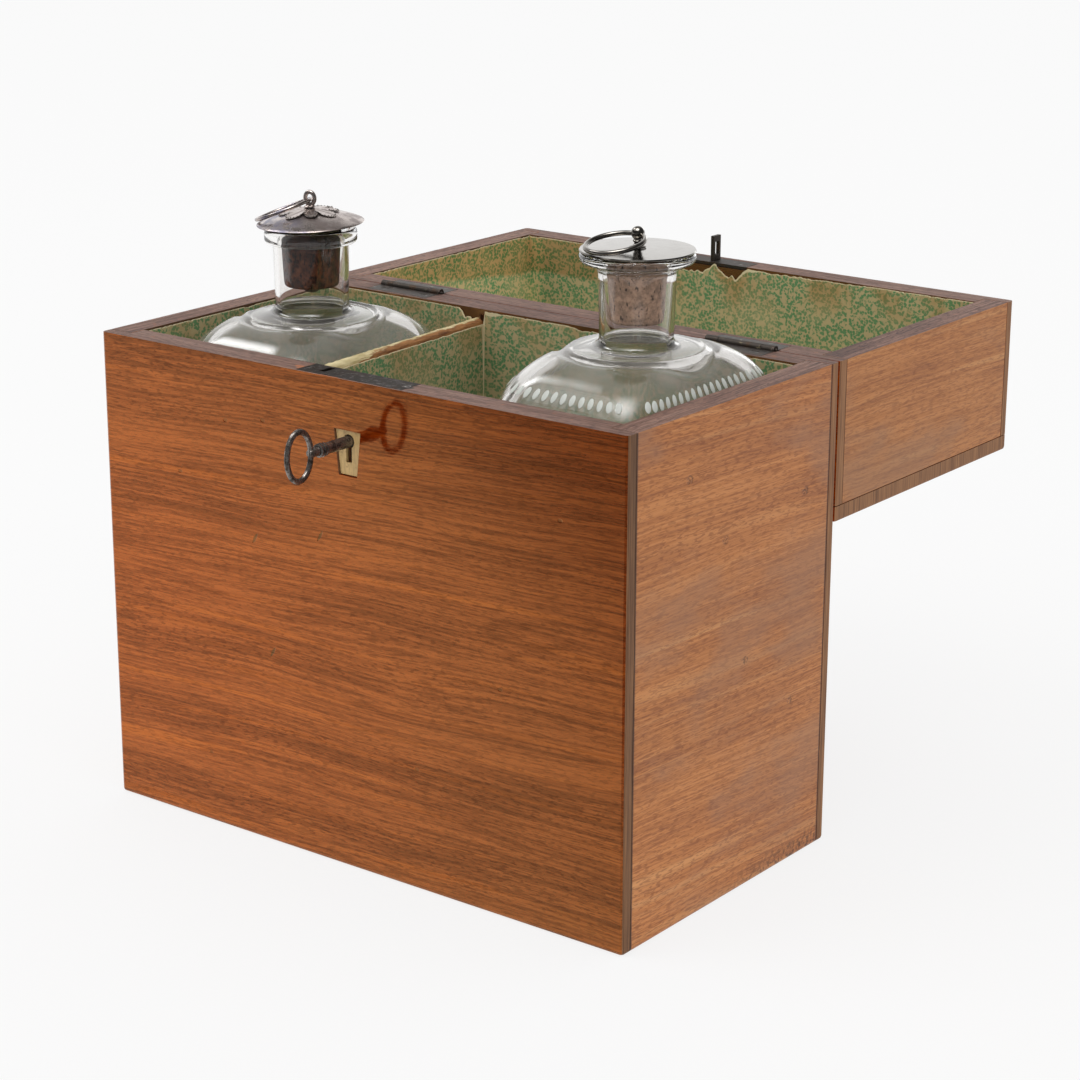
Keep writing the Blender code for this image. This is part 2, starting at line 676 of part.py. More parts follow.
def make_lock(front):
    half = LOCK_CASE_LENGTH/2
    half_selvedge = SELVEDGE_LENGTH/2
    selvedge_front = -HALF_DEPTH+SELVEDGE_INSET
    key_room = add_tool("keyhole_room", prism(
        keyhole_outline(KEYHOLE, KEY_SLOT/2, KEY_SLOT_FOOT), 1, -HALF_DEPTH-CUT_PAST, CASE_BACK-LOCK_ROOM/2))
    cut(front, add_tool("lock_mortise", box(
        (-half-GLUE_GAP, MORTISE_FRONT, LOCK_FOOT-GLUE_GAP),
        (half+GLUE_GAP, -INNER_Y+CUT_PAST, BODY_HEIGHT+CUT_PAST))))
    cut(front, add_tool("selvedge_room", box(
        (-half_selvedge-GLUE_GAP, selvedge_front-GLUE_GAP, SELVEDGE_FOOT-GLUE_GAP),
        (half_selvedge+GLUE_GAP, -INNER_Y+CUT_PAST, BODY_HEIGHT+CUT_PAST))))
    cut(front, add_tool("escutcheon_room", prism(
        escutcheon_outline(GLUE_GAP), 1, -HALF_DEPTH-CUT_PAST, POCKET_BACK)))
    cut(front, key_room)

    plate = add_piece("lock_plate", box(
        (-half, LOCK_PLATE_FACE, LOCK_FOOT), (half, -INNER_Y, BODY_HEIGHT-SELVEDGE_THICKNESS/2)), DARK_IRON)
    selvedge = box((-half_selvedge, selvedge_front, SELVEDGE_FOOT), (half_selvedge, -INNER_Y, BODY_HEIGHT))
    join(plate, add_tool("lock_selvedge", selvedge))
    half_slot = STAPLE_THICKNESS/2+BOLT_GAP
    slot_y = STAPLE_WIDTH/2+STAPLE_GAP
    cut(plate, add_tool("staple_slot", box(
        (STAPLE_PLACE-half_slot, LOCK_MIDDLE-slot_y, SELVEDGE_FOOT-CUT_PAST/2),
        (STAPLE_PLACE+half_slot, LOCK_MIDDLE+slot_y, BODY_HEIGHT+CUT_PAST))))
    pin_tip = KEY_END-KEY_BORE_DEPTH+2*GLUE_GAP
    drill_pin = rod(DRILL_PIN, pin_tip, LOCK_PLATE_FACE+LOCK_PLATE_THICKNESS/2, SMALL_STEPS, 1)
    join(plate, add_tool("drill_pin", moved(drill_pin, (0, 0, KEY_AXIS))))
    post_tip = LOCK_MIDDLE-BOLT_THICKNESS/2-GLUE_GAP
    post = rod(GUIDE_POST, post_tip, LOCK_PLATE_FACE+LOCK_PLATE_THICKNESS/2, SMALL_STEPS, 1)
    join(plate, add_tool("bolt_guide_post", moved(post, (GUIDE_PLACE, 0, KEY_AXIS+GUIDE_RISE))))
    for number, sign in ((1, -1), (2, 1)):
        spot = (sign*(half_selvedge-LOCK_SCREW_INSET), (selvedge_front-INNER_Y)/2, BODY_HEIGHT)
        add_screw("lock_screw_"+str(number), spot, (plate, front))

    shell = box((-half, CASE_FRONT, LOCK_FOOT), (half, CASE_BACK, SELVEDGE_FOOT-GLUE_GAP))
    case = add_piece("lock_case", shell, DARK_IRON)
    cut(case, add_tool("lock_case_room", box(
        (-half+LOCK_SHEET, CASE_FRONT+LOCK_SHEET, LOCK_FOOT+LOCK_SHEET),
        (half-LOCK_SHEET, CASE_BACK+CUT_PAST, BODY_HEIGHT))))
    cut(case, key_room)
    add_bolt()
    add_spring()
    escutcheon = add_piece("escutcheon", prism(
        escutcheon_outline(0), 1, -HALF_DEPTH+ESCUTCHEON_SUNK, POCKET_BACK-GLUE_GAP), BONE)
    cut(escutcheon, key_room)


def add_bolt():
    """The bolt slides along X: its nose enters the staple's eye, and its talon takes the key's bit."""
    sweep = math.sqrt(BIT_RADIUS**2-(BIT_RADIUS-BOLT_TALON_DEPTH)**2)
    reach = sweep+BIT_THICKNESS+KEY_GAP
    talon_top = KEY_AXIS+BIT_RADIUS+KEY_GAP
    step = NOSE_TIP+BOLT_STEP
    outline = ((NOSE_TIP, NOSE_FOOT), (NOSE_TIP+BOLT_TRAVEL+BOLT_GAP, NOSE_FOOT),
               (NOSE_TIP+BOLT_TRAVEL+BOLT_GAP, BOLT_FOOT), (BOLT_TRAVEL/2-reach, BOLT_FOOT),
               (BOLT_TRAVEL/2-reach, talon_top), (BOLT_TRAVEL/2+reach, talon_top),
               (BOLT_TRAVEL/2+reach, BOLT_FOOT), (BOLT_END, BOLT_FOOT), (BOLT_END, BOLT_BAR_TOP),
               (step, BOLT_BAR_TOP), (step, BOLT_TOP), (NOSE_TIP, BOLT_TOP))
    low = LOCK_MIDDLE-BOLT_THICKNESS/2
    bolt = add_piece("lock_bolt", prism(outline, 1, low, low+BOLT_THICKNESS), DARK_IRON)
    room = GUIDE_POST+GLUE_GAP
    height = KEY_AXIS+GUIDE_RISE
    cut(bolt, add_tool("bolt_slot", box(
        (GUIDE_PLACE-room, low-CUT_PAST, height-room),
        (GUIDE_PLACE+BOLT_TRAVEL+room, low+BOLT_THICKNESS+CUT_PAST, height+room))))


def add_spring():
    """A bowed leaf spring between the selvedge and the bolt's bar."""
    high = SELVEDGE_FOOT-2*GLUE_GAP
    sag = high-SPRING_THICKNESS-(BOLT_BAR_TOP+GLUE_GAP)
    half = SPRING_SPAN/2
    radius = (half**2+sag**2)/(2*sag)
    spread = math.asin(half/radius)
    outline = []
    for thickness, turn in ((0, 1), (SPRING_THICKNESS, -1)):
        for i in range(9):
            angle = turn*spread*(i/4-1)
            drop = radius*math.cos(angle)-(radius-sag)
            outline.append((SPRING_PLACE+radius*math.sin(angle), high-drop-thickness))
    low = LOCK_MIDDLE-SPRING_WIDTH/2
    add_piece("bolt_spring", prism(outline, 1, low, low+SPRING_WIDTH), WORN_BRASS)


def make_link_plate(board, pivot):
    """The lid's half of the lock: a plate let into the rim, with the pierced staple standing on it."""
    half = LINK_LENGTH/2
    near_side = -INNER_Y-LINK_WIDTH
    link_top = LID_RIM+LINK_THICKNESS
    plate = box((STAPLE_PLACE-half, near_side, LID_RIM), (STAPLE_PLACE+half, -INNER_Y, link_top))
    link = add_piece("link_plate", moved(plate, -HINGE_AXIS), DARK_IRON, pivot)
    staple = box((STAPLE_PLACE-STAPLE_THICKNESS/2, LOCK_MIDDLE-STAPLE_WIDTH/2, LID_RIM-STAPLE_HEIGHT),
                 (STAPLE_PLACE+STAPLE_THICKNESS/2, LOCK_MIDDLE+STAPLE_WIDTH/2, LID_RIM+LINK_THICKNESS/2))
    join(link, add_tool("staple", moved(staple, -HINGE_AXIS), pivot))
    eye = box((STAPLE_PLACE-CUT_PAST, LOCK_MIDDLE-EYE_WIDTH/2, LID_RIM-EYE_FOOT-EYE_HEIGHT),
              (STAPLE_PLACE+CUT_PAST, LOCK_MIDDLE+EYE_WIDTH/2, LID_RIM-EYE_FOOT))
    cut(link, add_tool("staple_eye", moved(eye, -HINGE_AXIS), pivot))
    room = box((STAPLE_PLACE-half-GLUE_GAP, near_side-GLUE_GAP, LID_RIM-CUT_PAST),
               (STAPLE_PLACE+half+GLUE_GAP, -INNER_Y+CUT_PAST, link_top+GLUE_GAP))
    cut(board, add_tool("link_plate_room", moved(room, -HINGE_AXIS), pivot))
    for number, sign in ((1, -1), (2, 1)):
        spot = Vector((STAPLE_PLACE+sign*LINK_SCREW_SPREAD/2, near_side+LINK_WIDTH/2, LID_RIM))-HINGE_AXIS
        add_screw("link_screw_"+str(number), spot, (link, board), pivot, True)


def make_key():
    """The key is drawn about Z, from its bow at the foot to its hollow end, then laid along Y."""
    front = -HALF_DEPTH-KEY_REACH
    neck_start = BOW_LENGTH-BOW_WIRE
    collar = KEY_REACH-KEY_COLLAR_OUT
    end = KEY_END-front
    bore = DRILL_PIN+GLUE_GAP
    profile = [(KEY_NECK, neck_start), (KEY_NECK, collar-2*KEY_RING)]
    for i in range(2):
        foot = collar+(2*i-1)*KEY_RING
        profile += [(KEY_COLLAR, foot+KEY_RING_SLOPE), (KEY_COLLAR, foot+KEY_RING),
                    (KEY_GROOVE, foot+KEY_RING+KEY_RING_SLOPE)]
    profile += [(KEY_BARREL, collar+3*KEY_RING), (KEY_BARREL, end), (bore, end), (bore, end-KEY_BORE_DEPTH)]
    place = (0, front, KEY_AXIS)
    lay = (-math.pi/2, 0, 0)
    key = add_piece("key", turned(profile, SMALL_STEPS), DARK_IRON, None, place, lay)
    bow = oval_ring(BOW_LENGTH/2-BOW_WIRE, BOW_HEIGHT/2-BOW_WIRE, BOW_WIRE, RING_STEPS)
    bmesh.ops.rotate(bow, matrix=Matrix.Rotation(-math.pi/2, 3, 'Y'), verts=bow.verts)
    join(key, add_tool("key_bow", moved(bow, (0, 0, BOW_LENGTH/2)), None, place, lay))
    bit_end = end-GLUE_GAP
    bit = box((-BIT_THICKNESS/2, BIT_ROOT, bit_end-BIT_LENGTH), (BIT_THICKNESS/2, BIT_RADIUS, bit_end))
    join(key, add_tool("key_bit", bit, None, place, lay))


# Bottles

def section(half_x, half_y, corner, height):
    """One level of a bottle: a rectangle with round corners, or a circle where the corners fill it."""
    points = []
    for quarter, (sign_x, sign_y) in enumerate(QUARTERS):
        for step in range(CORNER_STEPS):
            angle = math.pi/2*(quarter+(step+0.5)/CORNER_STEPS)
            points.append((sign_x*(half_x-corner)+corner*math.cos(angle),
                           sign_y*(half_y-corner)+corner*math.sin(angle), height))
    return points


def shoulder(bottle, inset):
    """Levels from the top of the side walls, over the shoulder, to the round ridge below the neck."""
    half_x = BOTTLE_WIDTH/2-inset
    half_y = BOTTLE_DEPTH/2-inset
    corner = BOTTLE_CORNER-inset
    round_end = bottle.ridge_radius-inset
    levels = []
    for i in range(SHOULDER_STEPS+1):
        angle = math.pi/2*i/SHOULDER_STEPS
        out = math.cos(angle)
        rise = math.sin(angle)
        levels.append(section(round_end+(half_x-round_end)*out, round_end+(half_y-round_end)*out,
                              round_end+(corner-round_end)*out,
                              bottle.edge-inset+(bottle.ridge-bottle.edge)*rise))
    return levels


def lip_profile(bottle):
    """The lip's outside: a trumpet flare, or a plain rolled collar."""
    rise = bottle.lip_top-bottle.lip_foot
    out = bottle.lip_radius-bottle.neck
    steps = FLARED_LIP if bottle.lip_flare else ROLLED_LIP
    return [(bottle.neck+out*share, bottle.lip_foot+rise*height) for share, height in steps]


def make_bottle(bottle, finish=CLEAR_GLASS):
    half_x = BOTTLE_WIDTH/2
    half_y = BOTTLE_DEPTH/2
    foot = BOTTLE_FOOT_ROUND
    bend = foot*FOOT_BEND
    levels = [section(half_x-foot, half_y-foot, BOTTLE_CORNER-foot, FLOOR),
              section(half_x-bend, half_y-bend, BOTTLE_CORNER-bend, FLOOR+bend),
              section(half_x, half_y, BOTTLE_CORNER, FLOOR+foot)]
    levels += shoulder(bottle, 0)
    rings = []
    for i in range(1, NECK_STEPS+1):
        angle = math.pi/2*i/NECK_STEPS
        rings.append((bottle.ridge_radius-(bottle.ridge_radius-bottle.neck)*math.sin(angle),
                      bottle.neck_foot-(bottle.neck_foot-bottle.ridge)*math.cos(angle)))
    rings += lip_profile(bottle)
    narrow = bottle.bore-CORK_TAPER
    rings += [(bottle.bore+LIP_EDGE, bottle.lip_top), (bottle.bore, bottle.lip_top-LIP_EDGE_DROP),
              (narrow, bottle.neck_foot)]
    levels += [section(radius, radius, radius, height) for radius, height in rings]
    levels += reversed(shoulder(bottle, GLASS_WALL))
    inner = GLASS_WALL
    floor = FLOOR+GLASS_BASE
    levels += [section(half_x-inner, half_y-inner, BOTTLE_CORNER-inner, floor+foot),
               section(half_x-inner-foot, half_y-inner-foot, BOTTLE_CORNER-inner-foot, floor)]
    add_piece(bottle.name, loft(levels), finish, None, (*bottle.place, 0))


# Stoppers

def make_cork(name, bottle, stopper, length, hole, finish):
    top = stopper.cap_foot-GLUE_GAP
    foot = top-length
    narrow = stopper.cork-CORK_TAPER
    taper = CORK_TAPER/length
    profile = ((hole, top), (hole, foot), (narrow-CORK_ROUND, foot), (narrow, foot+CORK_ROUND),
               (stopper.cork-taper*CORK_PROUD, bottle.lip_top-CORK_ROUND), (stopper.cork, top))
    add_piece(name, turned(profile, ROUND_STEPS, ring=True), finish, None, (*bottle.place, 0))


def dome(stopper, radius):
    """Height of a cap's domed top at a radius."""
    edge = stopper.cap_foot+stopper.cap_edge
    return edge+(stopper.cap_top-edge)*(1-(radius/CAP_RADIUS)**2)


def cap_profile(stopper, hole):
    inner = stopper.cap_foot
    radii = [CAP_RADIUS*share for share in CAP_RINGS]+[hole]
    roll = inner+stopper.cap_edge*CAP_EDGE_ROLL
    return [(hole, inner), (CAP_RADIUS-stopper.cap_edge, inner), (CAP_RADIUS, roll)] + [
        (radius, dome(stopper, radius)) for radius in radii]


def make_rosette(bottle, stopper):
    """A thin leafy plate that follows the cap's dome, its edge cut to petals round the stud."""
    steps = ROSETTE_PETALS*6
    loops = []
    top = GLUE_GAP+ROSETTE_THICKNESS
    for lift, order in ((GLUE_GAP, ROSETTE_RINGS), (top, tuple(reversed(ROSETTE_RINGS)))):
        for share in order:
            loop = []
            for i in range(steps):
                angle = 2*math.pi*i/steps
                edge = ROSETTE_RADIUS-ROSETTE_NOTCH*abs(math.sin(ROSETTE_PETALS*angle/2))**3
                start = STUD_RADIUS+GLUE_GAP
                radius = start+(edge-start)*share
                loop.append((radius*math.cos(angle), radius*math.sin(angle), dome(stopper, radius)+lift))
            loops.append(loop)
    add_piece("left_rosette", loft(loops, close_ends=False), TARNISHED_SILVER, None, (*bottle.place, 0))


def ring_sink():
    """How far the left ring lies below the middle of its eye, resting on the eye's foot."""
    return EYE_HALF_HEIGHT-EYE_WIRE-LEFT_RING_WIRE-GLUE_GAP


def make_left_stud(bottle, stopper):
    """The ring's eye, on a stud that runs down through rosette, cap and cork to a nut."""
    base = dome(stopper, 0)+2*GLUE_GAP+ROSETTE_THICKNESS
    eye_middle = stopper.eye+ring_sink()
    cork_foot = stopper.cap_foot-GLUE_GAP-LEFT_CORK_LENGTH
    end = cork_foot-GLUE_GAP-NUT_HEIGHT
    profile = ((STUD_TIP, end), (STUD_RADIUS, end+STUD_TIP_RISE), (STUD_RADIUS, base),
               (STUD_COLLAR, base), (STUD_COLLAR_TOP, base+STUD_COLLAR_EDGE),
               (STUD_RADIUS, base+STUD_COLLAR_HEIGHT), (STUD_TIP, eye_middle-EYE_HALF_HEIGHT))
    place = (*bottle.place, 0)
    turn = (0, 0, LEFT_RING_HEADING)
    stud = add_piece("left_ring_stud", turned(profile, SMALL_STEPS), TARNISHED_SILVER, None, place, turn)
    eye = oval_ring(EYE_HALF_WIDTH, EYE_HALF_HEIGHT, EYE_WIRE, SMALL_STEPS)
    bmesh.ops.rotate(eye, matrix=Matrix.Rotation(math.pi/2, 3, 'X'), verts=eye.verts)
    join(stud, add_tool("left_ring_eye", moved(eye, (0, 0, eye_middle)), None, place, turn))
    hole = STUD_RADIUS+GLUE_GAP
    nut = ((hole, end), (NUT_FOOT, end), (NUT_RADIUS, cork_foot-GLUE_GAP-NUT_EDGE),
           (NUT_RADIUS, cork_foot-GLUE_GAP), (hole, cork_foot-GLUE_GAP))
    add_piece("left_stud_nut", turned(nut, SMALL_STEPS, ring=True), DARK_IRON, None, place)


def make_right_finial(bottle, stopper):
    """A turned finial: a ball, pierced for the ring, on a waisted foot and a shank set into the cork."""
    base = dome(stopper, 0)+GLUE_GAP
    middle = stopper.eye+FINIAL_HOLE_DROP
    shank_end = stopper.cap_foot-FINIAL_SHANK
    ball = []
    for i in range(BALL_STEPS+1):
        angle = BALL_UNDER+(BALL_OVER-BALL_UNDER)*i/BALL_STEPS
        ball.append((FINIAL_BALL*math.cos(angle), middle+FINIAL_BALL*math.sin(angle)))
    collar = (base+ball[0][1])/2
    profile = [(STUD_TIP, shank_end), (STUD_RADIUS, shank_end+STUD_TIP_RISE), (STUD_RADIUS, base),
               (FINIAL_FOOT, base), (FINIAL_FOOT_TOP, base+STUD_COLLAR_EDGE),
               (FINIAL_WAIST, collar-FINIAL_WAIST_DROP), (FINIAL_BEAD, collar+FINIAL_BEAD_RISE)]
    place = (*bottle.place, 0)
    turn = (0, 0, RIGHT_RING_HEADING)
    finial = add_piece("right_finial", turned(profile+ball, SMALL_STEPS), BRIGHT_SILVER, None, place, turn)
    hole = rod(RIGHT_RING_WIRE+RING_GAP, -FINIAL_FOOT*2, FINIAL_FOOT*2, WIRE_STEPS*2, 1)
    cut(finial, add_tool("right_ring_hole", moved(hole, (0, 0, stopper.eye)), None, place, turn))


def rest_lean(radius, wire, stopper, top_profile):
    """How far a ring leans from level when it rests on the cap, with the gap of pieces that touch."""
    def clearance(lean):
        least = radius
        for i in range(4, 61):
            turn = math.pi*i/60
            out = radius*(1-math.cos(turn))
            point = Vector((math.hypot(out*math.cos(lean), radius*math.sin(turn)),
                            stopper.eye-out*math.sin(lean)))
            for start, end in zip(top_profile, top_profile[1:]):
                along = Vector(end)-Vector(start)
                share = max(0.0, min(1.0, (point-Vector(start)).dot(along)/along.length_squared))
                least = min(least, (point-Vector(start)-share*along).length)
        return least-wire-GLUE_GAP
    steep = 0.0
    while clearance(steep) > 0:
        steep += math.radians(1)
    level = steep-math.radians(1)
    for _ in range(20):
        middle = (level+steep)/2
        if clearance(middle) > 0:
            level = middle
        else:
            steep = middle
    return level


def make_ring(name, bottle, stopper, radius, wire, heading, profile, finish):
    lean = rest_lean(radius, wire, stopper, profile)
    ring = moved(oval_ring(radius, radius, wire, RING_STEPS), (radius, 0, 0))
    add_piece(name, ring, finish, None, (*bottle.place, stopper.eye), (0, lean, heading))
    return lean


def make_left_bottle():
    eye_middle = LID_CEILING-LEFT_HEADROOM-EYE_HALF_HEIGHT-EYE_WIRE
    eye = eye_middle-ring_sink()
    cap_top = eye_middle-EYE_HALF_HEIGHT-STUD_COLLAR_HEIGHT-ROSETTE_THICKNESS-2*GLUE_GAP
    cap_foot = cap_top-LEFT_CAP_DOME-LEFT_CAP_EDGE
    lip_top = cap_foot-CORK_PROUD
    bottle = Bottle("left_bottle", (LEFT_X, LEFT_BACKWARD), edge=BODY_HEIGHT-LEFT_EDGE_DROP,
                    ridge=BODY_HEIGHT+LEFT_RIDGE_RISE, ridge_radius=LEFT_RIDGE_RADIUS,
                    neck_foot=BODY_HEIGHT+LEFT_RIDGE_RISE+NECK_FILLET, neck=LEFT_NECK,
                    lip_foot=lip_top-LEFT_LIP_HEIGHT, lip_top=lip_top, lip_radius=LEFT_LIP, lip_flare=False)
    stopper = Stopper(cap_foot, LEFT_CAP_EDGE, cap_top, eye, bottle.bore-GLUE_GAP)
    make_bottle(bottle)
    hole = STUD_RADIUS+GLUE_GAP
    make_cork("left_cork", bottle, stopper, LEFT_CORK_LENGTH, hole, DARK_CORK)
    profile = cap_profile(stopper, hole)
    add_piece("left_cap", turned(profile, ROUND_STEPS, ring=True), TARNISHED_SILVER, None, (*bottle.place, 0))
    make_rosette(bottle, stopper)
    make_left_stud(bottle, stopper)
    lean = make_ring("left_ring", bottle, stopper, LEFT_RING_RADIUS, LEFT_RING_WIRE, LEFT_RING_HEADING,
                     profile, TARNISHED_SILVER)
    return bottle, stopper, lean


def make_right_bottle():
    eye = LID_CEILING-RIGHT_HEADROOM-FINIAL_BALL-FINIAL_HOLE_DROP
    cap_top = eye+FINIAL_HOLE_DROP-FINIAL_BALL-FINIAL_STEM-GLUE_GAP
    cap_foot = cap_top-RIGHT_CAP_DOME-RIGHT_CAP_EDGE
    lip_top = cap_foot-GLUE_GAP
    bottle = Bottle("right_bottle", (RIGHT_X, RIGHT_BACKWARD), edge=BODY_HEIGHT-RIGHT_EDGE_DROP,
                    ridge=BODY_HEIGHT+RIGHT_RIDGE_RISE, ridge_radius=RIGHT_RIDGE_RADIUS,
                    neck_foot=BODY_HEIGHT+RIGHT_RIDGE_RISE+NECK_FILLET, neck=RIGHT_NECK,
                    lip_foot=lip_top-RIGHT_LIP_HEIGHT, lip_top=lip_top, lip_radius=CAP_RADIUS, lip_flare=True)
    stopper = Stopper(cap_foot, RIGHT_CAP_EDGE, cap_top, eye, bottle.bore-GLUE_GAP)
    make_bottle(bottle)
    hole = STUD_RADIUS+GLUE_GAP
    make_cork("right_cork", bottle, stopper, RIGHT_CORK_LENGTH, hole, PALE_CORK)
    profile = cap_profile(stopper, hole)
    add_piece("right_cap", turned(profile, ROUND_STEPS, ring=True), BRIGHT_SILVER, None, (*bottle.place, 0))
    make_right_finial(bottle, stopper)
    lean = make_ring("right_ring", bottle, stopper, RIGHT_RING_RADIUS, RIGHT_RING_WIRE, RIGHT_RING_HEADING,
                     profile, BRIGHT_SILVER)
    return bottle, stopper, lean


def main():
    clear_scene()
    pivot = add_empty("lid_pivot", HINGE_AXIS, (math.pi, 0, 0))
    body_boards = make_body()
    lid_boards = make_lid(pivot)
    for label, sign in (("left", -1), ("right", 1)):
        make_hinge(label, sign*HINGE_PLACE, body_boards, lid_boards, pivot)
    make_lock(body_boards["front_board"])
    make_link_plate(lid_boards["lid_front_board"], pivot)
    make_key()
    for bottle, stopper, lean in (make_left_bottle(), make_right_bottle()):
        print(bottle.name, "axis", [round(v, 5) for v in bottle.place], "ring eye", round(stopper.eye, 5),
              "ring leans", round(math.degrees(lean), 2), "degrees")


main()
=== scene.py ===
"""Liquor case standing open: finishes, glass, stoppers, linings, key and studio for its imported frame."""
import json
import math
from collections import namedtuple

import bmesh
import bpy
from bpy.props import FloatProperty, FloatVectorProperty, IntProperty, PointerProperty
from mathutils import Matrix, Vector, noise


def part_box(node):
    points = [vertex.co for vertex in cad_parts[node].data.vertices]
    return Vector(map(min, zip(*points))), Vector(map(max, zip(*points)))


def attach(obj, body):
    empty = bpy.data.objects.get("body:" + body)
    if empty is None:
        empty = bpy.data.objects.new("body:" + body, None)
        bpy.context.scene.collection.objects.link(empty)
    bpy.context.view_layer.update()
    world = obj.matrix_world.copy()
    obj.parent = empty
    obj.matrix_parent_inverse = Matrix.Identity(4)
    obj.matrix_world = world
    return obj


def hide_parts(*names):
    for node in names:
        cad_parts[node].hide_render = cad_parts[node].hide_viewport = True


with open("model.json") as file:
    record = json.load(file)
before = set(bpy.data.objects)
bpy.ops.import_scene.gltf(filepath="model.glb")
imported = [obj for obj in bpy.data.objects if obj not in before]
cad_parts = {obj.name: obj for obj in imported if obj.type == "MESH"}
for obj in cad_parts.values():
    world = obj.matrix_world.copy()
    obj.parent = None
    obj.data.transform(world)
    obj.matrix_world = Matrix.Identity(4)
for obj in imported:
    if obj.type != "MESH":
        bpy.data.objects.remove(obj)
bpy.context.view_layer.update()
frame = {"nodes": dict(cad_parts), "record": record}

bl_info = {
    "name": "Liquor case",
    "version": (1, 0, 0),
    "blender": (4, 5, 0),
    "location": "View3D > Sidebar > Liquor case",
    "description": "Dresses the packed liquor case: wood, paper, glass, corks, silver, lock and studio",
    "category": "Object",
}

MM = 0.001
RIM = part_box("front_board")[1].z
LID_BACK_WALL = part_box("lid_lining")[1].y
PAPER = 0.4*MM
STUD_HOLE = 1.4*MM


def joint_place(name):
    """Where a joint's axis lies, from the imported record."""
    for joint in frame["record"]["behaviour"]["joints"]:
        if joint["name"] == name:
            return Vector(joint["pos_m"])
    raise ValueError("no joint "+name)


LEFT_EYE = joint_place("left_ring_swing")
RIGHT_EYE = joint_place("right_ring_swing")
KEY_AXIS = joint_place("key_turn")

# Marks of use and one painted shadow in a gap, in metres: (x, z) on the front, (y, z) on the sides, (x, y) on
# the front rim
FRONT_NICKS = ((-0.038, 0.0751), (-0.0453, 0.1172), (-0.0137, 0.1240))
NICK_SLANT = 0.55
FRONT_DOTS = ((0.0927, 0.1496), (-0.0584, 0.1592), (-0.040, 0.162), (-0.082, 0.136), (0.0674, 0.0846),
              (0.030, 0.046), (-0.071, 0.028))
SIDE_DENTS = ((-0.0063, 0.1341), (0.0076, 0.0867), (-0.0287, 0.1604), (0.038, 0.0628), (0.044, 0.140))
RIM_CHIPS = ((-0.0262, -0.0588), (-0.0240, -0.0606), (-0.0105, -0.0637), (-0.0060, -0.0638))
# A painted shadow: a dark spot in a gap on the front rim.
RIM_GAP_SHADOWS = ((0.0243, -0.0590),)


# Settings that a user would change

def colour(name, description, default):
    return FloatVectorProperty(name=name, description=description, subtype='COLOR', size=3, min=0, max=1,
                               default=default)


def length(name, description, default):
    return FloatProperty(name=name, description=description, unit='LENGTH', precision=5, default=default)


def amount(name, description, default):
    return FloatProperty(name=name, description=description, min=0, default=default)


def turn(name, description, degrees):
    return FloatProperty(name=name, description=description, subtype='ANGLE', unit='ROTATION',
                         default=math.radians(degrees))


